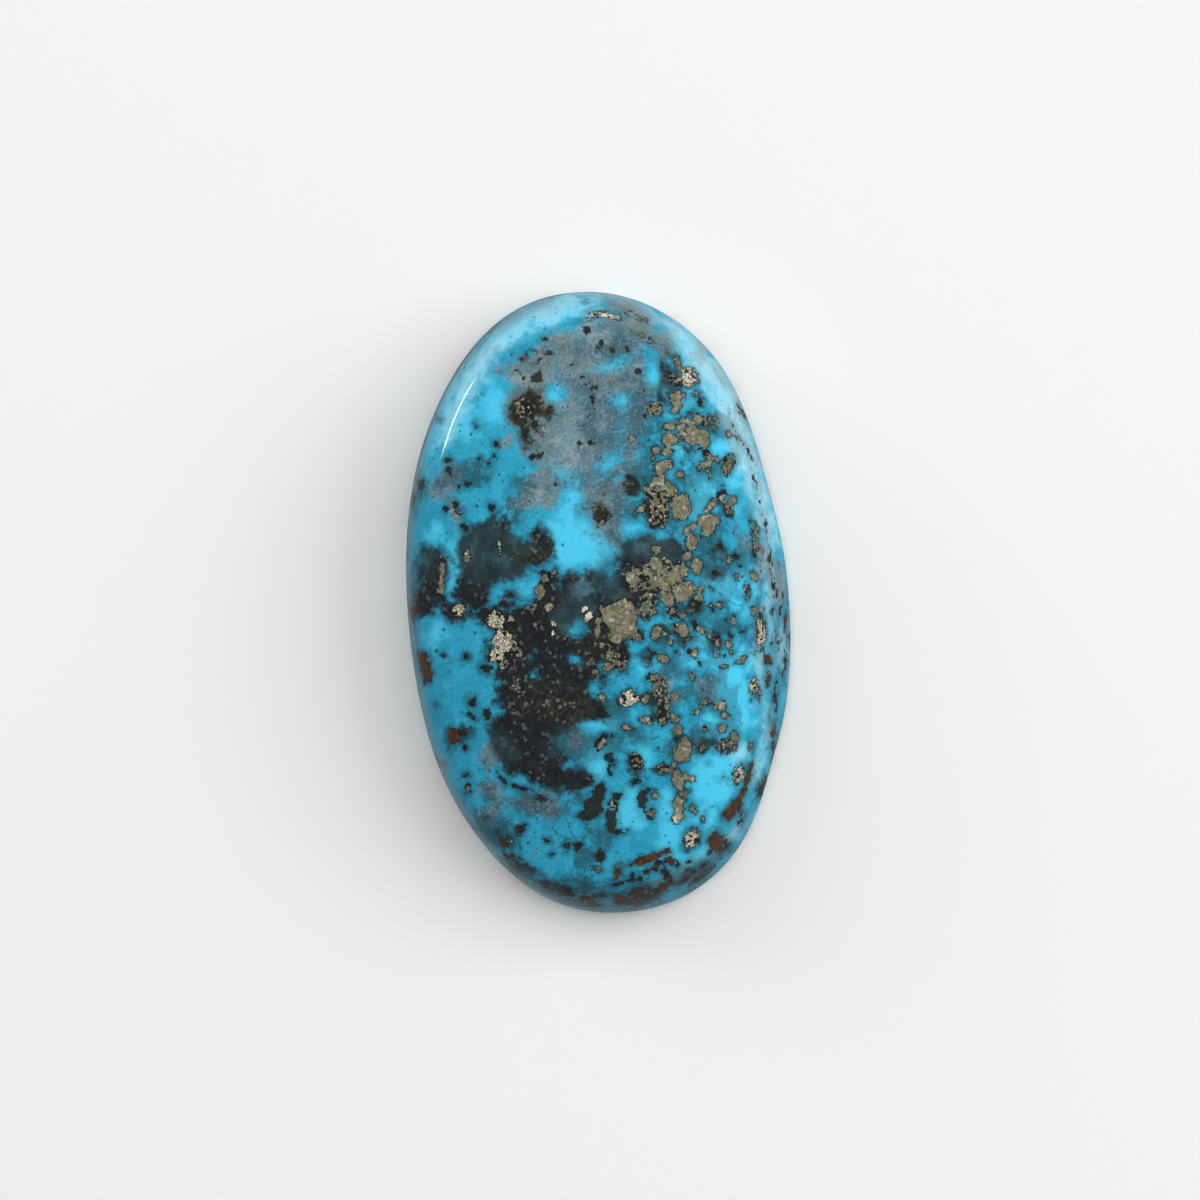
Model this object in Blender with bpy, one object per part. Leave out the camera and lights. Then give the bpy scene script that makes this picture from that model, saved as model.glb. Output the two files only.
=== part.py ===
"""A polished oval turquoise cabochon, one natural stone.

It has a flat ground back, a small rounded lower edge, flanks that lean in, a soft shoulder and a low dome.
Metres, +Z up through the dome and +Y along the stone. The origin is the middle of the flat back.
"""

import math

import bmesh
import bpy

# Overall size of the stone
LENGTH = 0.0362
WIDTH = 0.0224
HEIGHT = 0.0084

# Plan: a superellipse, where a power of 2 is a true ellipse and more is squarer
OUTLINE_POWER = 2.14

# Lower edge: how far the flat back stands in from the widest line, and how high that line lies
EDGE_IN = 0.00055
EDGE_UP = 0.0008

# Flanks: their mean lean from the vertical, on the +X and the -X side, as far in as the depth says
LEAN_RIGHT = math.radians(22)
LEAN_LEFT = math.radians(15)
LEAN_DEPTH = 0.002
FLANK_BULGE = 0.8  # 1 is a straight flank, less bulges outwards and starts upright

# Dome: its highest point, and how far it would fall by the widest line if no flank cut it off
CROWN_X = -0.0006
CROWN_Y = 0.0005
DOME_FALL = 0.0034

# Shoulder: height over which flank and dome blend, and the width of the band that holds both
SHOULDER_BLEND = 0.0036
SHOULDER_BAND = 0.0042

# Where hand grinding left the true oval: angle from +X and spread in degrees, and metres outwards
GRINDING = {
    "flat on the upper right": (30, 17, -0.00022),
    "full upper right end": (60, 13, 0.00020),
    "lean upper left": (120, 15, -0.00012),
    "full lower left": (-138, 14, 0.00010),
    "full lower right end": (-68, 13, 0.00022),
    "faint corner on the lower right": (-46, 9, -0.00014),
}

# Facets: along one side of the starting cube, up its walls, and those of the walls that round the lower edge
SIDE_FACETS = 28
WALL_FACETS = 14
EDGE_FACETS = 4
BAND_CROWDING = 1.5  # crowds the rows of the band towards the steep flank

POLISHED_TURQUOISE = (0.038, 0.314, 0.462, 1.0)
POLISHED_ROUGHNESS = 0.12


def signed_power(value, power):
    return math.copysign(abs(value) ** power, value)


def disc_point(x, y):
    """A point of the square from -1 to 1 on the unit disc, with the square's rim on the disc's rim."""
    return x * math.sqrt(1 - y * y / 2), y * math.sqrt(1 - x * x / 2)


def outline(angle):
    """The widest line of the stone at an angle of its plan, and the outward direction there."""
    across = math.cos(angle)
    along = math.sin(angle)
    x = WIDTH / 2 * signed_power(across, 2 / OUTLINE_POWER)
    y = LENGTH / 2 * signed_power(along, 2 / OUTLINE_POWER)
    slope_power = 2 - 2 / OUTLINE_POWER
    out_x = signed_power(across, slope_power) / WIDTH
    out_y = signed_power(along, slope_power) / LENGTH
    size = math.hypot(out_x, out_y)
    out_x /= size
    out_y /= size

    bearing = math.degrees(math.atan2(y, x))
    for at, spread, amount in GRINDING.values():
        away = (bearing - at + 180) % 360 - 180
        bump = amount * math.exp(-((away / spread) ** 2))
        x += bump * out_x
        y += bump * out_y
    return x, y, out_x, out_y


def dome_height(x, y):
    across = (x - CROWN_X) / (WIDTH / 2)
    along = (y - CROWN_Y) / (LENGTH / 2)
    return HEIGHT - DOME_FALL * (across * across + along * along)


def blended_lower(first, second, blend):
    """The lower of two heights, rounded where they come within the blend of each other."""
    overlap = max(blend - abs(first - second), 0) / blend
    return min(first, second) - overlap**3 * blend / 6


def stone_point(cube_point):
    """Where a point of the starting cube lies on the stone.

    The cube's floor becomes the back, its walls the lower edge, flank and shoulder, and its lid the dome.
    """
    disc_x, disc_y = disc_point(cube_point.x, cube_point.y)
    reach = min(math.hypot(disc_x, disc_y), 1)
    angle = math.atan2(disc_y, disc_x)
    climb = (cube_point.z + 1) / 2
    edge_share = EDGE_FACETS / WALL_FACETS
    edge_turn = math.pi / 2 * min(climb / edge_share, 1)
    band_share = max(climb - edge_share, 0) / (1 - edge_share)
    band_inset = SHOULDER_BAND * band_share**BAND_CROWDING
    inset = EDGE_IN * (1 - math.sin(edge_turn)) + band_inset

    rim_x, rim_y, out_x, out_y = outline(angle)
    x = CROWN_X + (rim_x - inset * out_x - CROWN_X) * reach
    y = CROWN_Y + (rim_y - inset * out_y - CROWN_Y) * reach

    lean = (LEAN_RIGHT + LEAN_LEFT) / 2 + (LEAN_RIGHT - LEAN_LEFT) / 2 * math.cos(angle)
    depth = band_inset + (1 - reach) * (WIDTH / 2 - SHOULDER_BAND) * band_share
    flank_rise = LEAN_DEPTH / math.tan(lean) * (depth / LEAN_DEPTH) ** FLANK_BULGE
    dome_rise = dome_height(x, y) - EDGE_UP
    rise = blended_lower(flank_rise, dome_rise, SHOULDER_BLEND)
    lift = EDGE_UP * (1 - math.cos(edge_turn)) + rise
    return x, y, lift


def cut_cube():
    """A cube from -1 to 1, cut into rows up its walls and into a grid on every side."""
    bm = bmesh.new()
    bmesh.ops.create_cube(bm, size=2)
    upright = [edge for edge in bm.edges if abs(edge.verts[0].co.z - edge.verts[1].co.z) > 1]
    bmesh.ops.subdivide_edges(bm, edges=upright, cuts=WALL_FACETS - 1, use_grid_fill=True)
    level = [edge for edge in bm.edges if abs(edge.verts[0].co.z - edge.verts[1].co.z) < 0.01]
    bmesh.ops.subdivide_edges(bm, edges=level, cuts=SIDE_FACETS - 1, use_grid_fill=True)
    return bm


def centred(bm):
    """Moves the stone so that its plan is centred on the origin."""
    for axis in (0, 1):
        places = [vertex.co[axis] for vertex in bm.verts]
        middle = (min(places) + max(places)) / 2
        for vertex in bm.verts:
            vertex.co[axis] -= middle


def turquoise_material():
    material = bpy.data.materials.new("polished turquoise")
    material.use_nodes = True
    shader = material.node_tree.nodes["Principled BSDF"]
    shader.inputs["Base Color"].default_value = POLISHED_TURQUOISE
    shader.inputs["Roughness"].default_value = POLISHED_ROUGHNESS
    shader.inputs["Metallic"].default_value = 0
    return material


def cabochon(collection):
    bm = cut_cube()
    for vertex in bm.verts:
        vertex.co = stone_point(vertex.co)
    centred(bm)
    bmesh.ops.recalc_face_normals(bm, faces=bm.faces)

    mesh = bpy.data.meshes.new("turquoise_cabochon")
    bm.to_mesh(mesh)
    bm.free()
    mesh.shade_smooth()
    mesh.materials.append(turquoise_material())
    stone = bpy.data.objects.new("turquoise_cabochon", mesh)
    collection.objects.link(stone)
    return stone


def main():
    for old in list(bpy.data.objects):
        bpy.data.objects.remove(old, do_unlink=True)
    collection = bpy.data.collections.new("Turquoise cabochon")
    bpy.context.scene.collection.children.link(collection)
    cabochon(collection)


main()
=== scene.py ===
import math

import bmesh
import bpy
import numpy as np
from mathutils import Matrix, Vector


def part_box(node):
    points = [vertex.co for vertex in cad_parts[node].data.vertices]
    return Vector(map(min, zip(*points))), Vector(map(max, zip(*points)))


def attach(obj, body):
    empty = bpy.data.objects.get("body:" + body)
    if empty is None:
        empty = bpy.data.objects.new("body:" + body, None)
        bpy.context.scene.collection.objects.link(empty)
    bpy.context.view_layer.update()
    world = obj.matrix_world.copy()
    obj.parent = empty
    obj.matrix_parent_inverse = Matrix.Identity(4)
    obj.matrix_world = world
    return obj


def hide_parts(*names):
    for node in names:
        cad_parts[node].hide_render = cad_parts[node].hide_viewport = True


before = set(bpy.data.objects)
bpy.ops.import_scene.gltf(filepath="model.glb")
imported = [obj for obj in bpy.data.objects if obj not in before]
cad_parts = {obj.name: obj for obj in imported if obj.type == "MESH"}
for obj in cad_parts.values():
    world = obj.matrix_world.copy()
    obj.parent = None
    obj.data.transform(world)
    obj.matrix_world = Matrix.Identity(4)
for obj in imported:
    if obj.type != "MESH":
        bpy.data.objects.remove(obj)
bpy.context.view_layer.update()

mm = 0.001


def linearColour(hexText):
    # sRGB hex to the linear values that shaders work in
    shares = [int(hexText[i:i + 2], 16) / 255 for i in (1, 3, 5)]
    return tuple(s / 12.92 if s <= 0.04045 else ((s + 0.055) / 1.055) ** 2.4 for s in shares) + (1.0,)


def addNode(tree, kind, settings=None, inputs=None):
    # adds one node; an input is a value or another node's socket
    node = tree.nodes.new(kind)
    for name, value in (settings or {}).items():
        setattr(node, name, value)
    for place, value in (inputs or {}).items():
        if isinstance(value, bpy.types.NodeSocket):
            tree.links.new(value, node.inputs[place])
        else:
            node.inputs[place].default_value = value
    return node


def plainMesh(piece):
    # the evaluated object as a mesh with no modifiers left
    evaluated = piece.evaluated_get(bpy.context.evaluated_depsgraph_get())
    made = bpy.data.meshes.new_from_object(evaluated)
    piece.modifiers.clear()
    piece.data = made
    return made


print("stone: form")
lowest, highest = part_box("turquoise_cabochon")
stone = {
    "width": highest.x - lowest.x,
    "length": highest.y - lowest.y,
    "height": highest.z - lowest.z,
    "outlinePower": 2.14,        # 2 is a true ellipse, more is squarer
    "edgeIn": 0.55 * mm,         # the flat back stands this far in from the widest line
    "edgeUp": 0.8 * mm,          # height of the widest line
    "leanRight": math.radians(22),
    "leanLeft": math.radians(15),
    "leanDepth": 2 * mm,         # the two leans are means as far in as this
    "flankBulge": 0.8,           # 1 is a straight flank
    "crown": (-0.6 * mm, 0.5 * mm, 0),  # where the dome is highest
    "domeFall": 3.4 * mm,        # the dome would be this much lower by the widest line
    "shoulderBlend": 3.6 * mm,   # height over which flank and dome blend
    "shoulderBand": 4.2 * mm,    # width of the band that holds both
    "bandCrowding": 1.5,         # more crowds the band's rows towards the steep flank
    "facetsAcross": 128,
    "facetsAlong": 216,
    "wallFacets": 60,
    "edgeShare": 2 / 7,          # of the wall's rows, those that round the lower edge
    "grinding": {                # degrees from +X, degrees of spread, outwards
        "flat on the upper right": (30, 17, -0.22 * mm),
        "full upper right end": (60, 13, 0.20 * mm),
        "lean upper left": (120, 15, -0.12 * mm),
        "full lower left": (-138, 14, 0.10 * mm),
        "full lower right end": (-68, 13, 0.22 * mm),
        "faint corner on the lower right": (-46, 9, -0.14 * mm),
    },
}


def formTree():
    # a cube's floor becomes the back, its walls the edge, flank and shoulder, and its lid the dome
    tree = bpy.data.node_groups.new("cabochonForm", "GeometryNodeTree")
    face = tree.interface
    face.new_socket("Geometry", in_out="OUTPUT", socket_type="NodeSocketGeometry")
    for kind, names in {
        "Float": (
            "Width", "Length", "Height", "Outline Power", "Edge In", "Edge Up", "Edge Share", "Lean Right",
            "Lean Left", "Lean Depth", "Flank Bulge", "Dome Fall", "Shoulder Blend", "Shoulder Band",
            "Band Crowding",
        ),
        "Vector": ("Crown",),
        "Int": ("Facets Across", "Facets Along", "Wall Facets"),
        "Material": ("Material",),
    }.items():
        for name in names:
            face.new_socket(name, in_out="INPUT", socket_type="NodeSocket" + kind)
    given = addNode(tree, "NodeGroupInput").outputs
    calc = "ShaderNodeMath"
    vec = "ShaderNodeVectorMath"
    combine = "ShaderNodeCombineXYZ"
    separate = "ShaderNodeSeparateXYZ"
    mapRange = "ShaderNodeMapRange"

    cube = addNode(tree, "GeometryNodeMeshCube", None, {"Size": (2, 2, 2)})
    for axis, facets in (("X", "Facets Across"), ("Y", "Facets Along"), ("Z", "Wall Facets")):
        cuts = addNode(tree, calc, {"operation": "ADD"}, {0: given[facets], 1: 1.0})
        tree.links.new(cuts.outputs[0], cube.inputs["Vertices " + axis])
    place = addNode(tree, "GeometryNodeInputPosition").outputs[0]
    at = addNode(tree, separate, None, {0: place}).outputs
    squares = addNode(tree, vec, {"operation": "MULTIPLY"}, {0: place, 1: place}).outputs[0]
    square = addNode(tree, separate, None, {0: squares}).outputs

    # the square plan goes round: x * sqrt(1 - y² / 2), and the same for y
    discPlan = []
    for own, other in ((0, 1), (1, 0)):
        room = addNode(tree, calc, {"operation": "MULTIPLY_ADD"}, {0: square[other], 1: -0.5, 2: 1.0})
        root = addNode(tree, calc, {"operation": "SQRT"}, {0: room.outputs[0]})
        drawnIn = addNode(tree, calc, {"operation": "MULTIPLY"}, {0: at[own], 1: root.outputs[0]})
        discPlan.append(drawnIn.outputs[0])
    disc = addNode(tree, combine, None, {0: discPlan[0], 1: discPlan[1]}).outputs[0]
    reach = addNode(tree, vec, {"operation": "LENGTH"}, {0: disc}).outputs["Value"]
    heading = addNode(tree, vec, {"operation": "NORMALIZE"}, {0: disc}).outputs[0]

    # rows of the wall: a quarter turn round the lower edge, then the band of flank and shoulder
    climb = addNode(tree, calc, {"operation": "MULTIPLY_ADD"}, {0: at[2], 1: 0.5, 2: 0.5}).outputs[0]
    edgeTurn = addNode(tree, mapRange, None, {
        "Value": climb, "From Max": given["Edge Share"], "To Max": math.pi / 2}).outputs[0]
    bandShare = addNode(tree, mapRange, None, {"Value": climb, "From Min": given["Edge Share"]}).outputs[0]
    crowded = addNode(tree, calc, {"operation": "POWER"}, {0: bandShare, 1: given["Band Crowding"]})
    bandInset = addNode(tree, calc, {"operation": "MULTIPLY"}, {
        0: crowded.outputs[0], 1: given["Shoulder Band"]}).outputs[0]
    sine = addNode(tree, calc, {"operation": "SINE"}, {0: edgeTurn})
    edgeLeft = addNode(tree, calc, {"operation": "SUBTRACT"}, {0: 1.0, 1: sine.outputs[0]})
    inset = addNode(tree, calc, {"operation": "MULTIPLY_ADD"}, {
        0: edgeLeft.outputs[0], 1: given["Edge In"], 2: bandInset}).outputs[0]

    # widest line and its outward direction
    size = addNode(tree, combine, None, {0: given["Width"], 1: given["Length"], 2: 1.0}).outputs[0]
    half = addNode(tree, vec, {"operation": "SCALE"}, {0: size, "Scale": 0.5}).outputs[0]
    side = addNode(tree, vec, {"operation": "SIGN"}, {0: heading}).outputs[0]
    plainHeading = addNode(tree, vec, {"operation": "ABSOLUTE"}, {0: heading}).outputs[0]
    rimPower = addNode(tree, calc, {"operation": "DIVIDE"}, {0: 2.0, 1: given["Outline Power"]}).outputs[0]
    outPower = addNode(tree, calc, {"operation": "SUBTRACT"}, {0: 2.0, 1: rimPower}).outputs[0]
    rimShape = addNode(tree, vec, {"operation": "POWER"}, {0: plainHeading, 1: rimPower}).outputs[0]
    rimSigned = addNode(tree, vec, {"operation": "MULTIPLY"}, {0: rimShape, 1: side}).outputs[0]
    rim = addNode(tree, vec, {"operation": "MULTIPLY"}, {0: rimSigned, 1: half}).outputs[0]
    outShape = addNode(tree, vec, {"operation": "POWER"}, {0: plainHeading, 1: outPower}).outputs[0]
    outSigned = addNode(tree, vec, {"operation": "MULTIPLY"}, {0: outShape, 1: side}).outputs[0]
    outSized = addNode(tree, vec, {"operation": "DIVIDE"}, {0: outSigned, 1: size}).outputs[0]
    outwards = addNode(tree, vec, {"operation": "NORMALIZE"}, {0: outSized}).outputs[0]

    # hand grinding moves the widest line a little
    rimAt = addNode(tree, separate, None, {0: rim}).outputs
    bearing = addNode(tree, calc, {"operation": "ARCTAN2"}, {0: rimAt[1], 1: rimAt[0]}).outputs[0]
    ground = 0.0
    for degrees, spread, amount in stone["grinding"].values():
        away = addNode(tree, calc, {"operation": "SUBTRACT"}, {0: bearing, 1: math.radians(degrees)})
        near = addNode(tree, calc, {"operation": "WRAP"}, {0: away.outputs[0], 1: math.pi, 2: -math.pi})
        share = addNode(tree, calc, {"operation": "DIVIDE"}, {0: near.outputs[0], 1: math.radians(spread)})
        squared = addNode(tree, calc, {"operation": "POWER"}, {0: share.outputs[0], 1: 2.0})
        fall = addNode(tree, calc, {"operation": "POWER"}, {0: 1 / math.e, 1: squared.outputs[0]})
        ground = addNode(tree, calc, {"operation": "MULTIPLY_ADD"}, {
            0: fall.outputs[0], 1: amount, 2: ground}).outputs[0]

    # plan: the widest line moved in by the inset, then shrunk towards the crown for the lid and the floor
    shift = addNode(tree, calc, {"operation": "SUBTRACT"}, {0: ground, 1: inset}).outputs[0]
    ring = addNode(tree, vec, {"operation": "MULTIPLY_ADD"}, {0: outwards, 1: shift, 2: rim}).outputs[0]
    fromCrown = addNode(tree, vec, {"operation": "SUBTRACT"}, {0: ring, 1: given["Crown"]}).outputs[0]
    plan = addNode(tree, vec, {"operation": "SCALE"}, {0: fromCrown, "Scale": reach}).outputs[0]

    # heights: the flank's rise and the dome's, whichever is lower
    headingAt = addNode(tree, separate, None, {0: heading}).outputs
    leanSum = addNode(tree, calc, {"operation": "ADD"}, {
        0: given["Lean Right"], 1: given["Lean Left"]}).outputs[0]
    leanGap = addNode(tree, calc, {"operation": "SUBTRACT"}, {
        0: given["Lean Right"], 1: given["Lean Left"]}).outputs[0]
    leanTwice = addNode(tree, calc, {"operation": "MULTIPLY_ADD"}, {
        0: leanGap, 1: headingAt[0], 2: leanSum}).outputs[0]
    lean = addNode(tree, calc, {"operation": "MULTIPLY"}, {0: leanTwice, 1: 0.5}).outputs[0]
    slope = addNode(tree, calc, {"operation": "TANGENT"}, {0: lean}).outputs[0]
    reachLeft = addNode(tree, calc, {"operation": "SUBTRACT"}, {0: 1.0, 1: reach}).outputs[0]
    halfWidth = addNode(tree, calc, {"operation": "MULTIPLY"}, {0: given["Width"], 1: 0.5}).outputs[0]
    lidWidth = addNode(tree, calc, {"operation": "SUBTRACT"}, {
        0: halfWidth, 1: given["Shoulder Band"]}).outputs[0]
    lidDepth = addNode(tree, calc, {"operation": "MULTIPLY"}, {0: reachLeft, 1: lidWidth}).outputs[0]
    depth = addNode(tree, calc, {"operation": "MULTIPLY_ADD"}, {
        0: lidDepth, 1: bandShare, 2: bandInset}).outputs[0]
    depthShare = addNode(tree, calc, {"operation": "DIVIDE"}, {0: depth, 1: given["Lean Depth"]}).outputs[0]
    bulged = addNode(tree, calc, {"operation": "POWER"}, {
        0: depthShare, 1: given["Flank Bulge"]}).outputs[0]
    leanRise = addNode(tree, calc, {"operation": "DIVIDE"}, {0: given["Lean Depth"], 1: slope}).outputs[0]
    flankRise = addNode(tree, calc, {"operation": "MULTIPLY"}, {0: leanRise, 1: bulged}).outputs[0]
    planShare = addNode(tree, vec, {"operation": "DIVIDE"}, {0: plan, 1: half}).outputs[0]
    fallShare = addNode(tree, vec, {"operation": "DOT_PRODUCT"}, {
        0: planShare, 1: planShare}).outputs["Value"]
    domeRoom = addNode(tree, calc, {"operation": "SUBTRACT"}, {
        0: given["Height"], 1: given["Edge Up"]}).outputs[0]
    domeFall = addNode(tree, calc, {"operation": "MULTIPLY"}, {
        0: given["Dome Fall"], 1: fallShare}).outputs[0]
    domeRise = addNode(tree, calc, {"operation": "SUBTRACT"}, {0: domeRoom, 1: domeFall}).outputs[0]
    rise = addNode(tree, calc, {"operation": "SMOOTH_MIN"}, {
        0: flankRise, 1: domeRise, 2: given["Shoulder Blend"]}).outputs[0]
    cosine = addNode(tree, calc, {"operation": "COSINE"}, {0: edgeTurn})
    edgeClimb = addNode(tree, calc, {"operation": "SUBTRACT"}, {0: 1.0, 1: cosine.outputs[0]})
    lift = addNode(tree, calc, {"operation": "MULTIPLY_ADD"}, {
        0: edgeClimb.outputs[0], 1: given["Edge Up"], 2: rise}).outputs[0]

    centredPlan = addNode(tree, vec, {"operation": "ADD"}, {0: plan, 1: given["Crown"]}).outputs[0]
    planAt = addNode(tree, separate, None, {0: centredPlan}).outputs
    spot = addNode(tree, combine, None, {0: planAt[0], 1: planAt[1], 2: lift}).outputs[0]
    cubePlace = addNode(tree, "GeometryNodeStoreNamedAttribute", {
        "data_type": "FLOAT_VECTOR", "domain": "POINT",
    }, {"Geometry": cube.outputs["Mesh"], "Name": "cubePlace", "Value": place})  # for unwrapStone
    moved = addNode(tree, "GeometryNodeSetPosition", None, {
        "Geometry": cubePlace.outputs[0], "Position": spot})
    smooth = addNode(tree, "GeometryNodeSetShadeSmooth", None, {"Geometry": moved.outputs[0]})
    real = addNode(tree, "GeometryNodeRealizeInstances", None, {"Geometry": smooth.outputs[0]})
    coloured = addNode(tree, "GeometryNodeSetMaterial", None, {
        "Geometry": real.outputs[0], "Material": given["Material"]})
    addNode(tree, "NodeGroupOutput", None, {0: coloured.outputs[0]})
    return tree


def stonePiece(material):
    piece = bpy.data.objects.new("polishedStone", bpy.data.meshes.new("polishedStone"))
    bpy.context.scene.collection.objects.link(piece)
    form = piece.modifiers.new("form", "NODES")
    form.node_group = formTree()
    values = dict(stone, material=material)
    for item in form.node_group.interface.items_tree:
        if item.in_out == "INPUT":
            form[item.identifier] = values[item.name[0].lower() + item.name[1:].replace(" ", "")]
    mesh = plainMesh(piece)
    mesh.name = "polishedStone"
    return piece


print("camera")
view = {
    "picture": 1200,             # pixels across the picture, in which the markings are placed
    "pixelsPerMm": 17.17,
    "lens": 100,                 # mm, on a 36 mm sensor
    "leanToRight": math.radians(8),
    "leanToTop": math.radians(1.5),
    "roll": math.radians(4.45),
    "aim": (0.19 * mm, 0.17 * mm, stone["edgeUp"]),
    "clipStart": 10 * mm,
}


def placeCamera():
    camera = bpy.data.objects.new("camera", bpy.data.cameras.new("camera"))
    bpy.context.scene.collection.objects.link(camera)
    camera.data.lens = view["lens"]
    frameWidth = view["picture"] / view["pixelsPerMm"] * mm
    distance = frameWidth * camera.data.lens / camera.data.sensor_width
    back = Vector((math.tan(view["leanToRight"]), math.tan(view["leanToTop"]), 1)).normalized()
    up = Vector((math.sin(view["roll"]), math.cos(view["roll"]), 0))
    right = up.cross(back).normalized()
    turn = Matrix((right, back.cross(right), back)).transposed()
    camera.matrix_world = Matrix.Translation(Vector(view["aim"]) + back * distance) @ turn.to_4x4()
    camera.data.clip_start = view["clipStart"]
    bpy.context.scene.camera = camera
    return camera


camera = placeCamera()


print("stone: markings")
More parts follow.
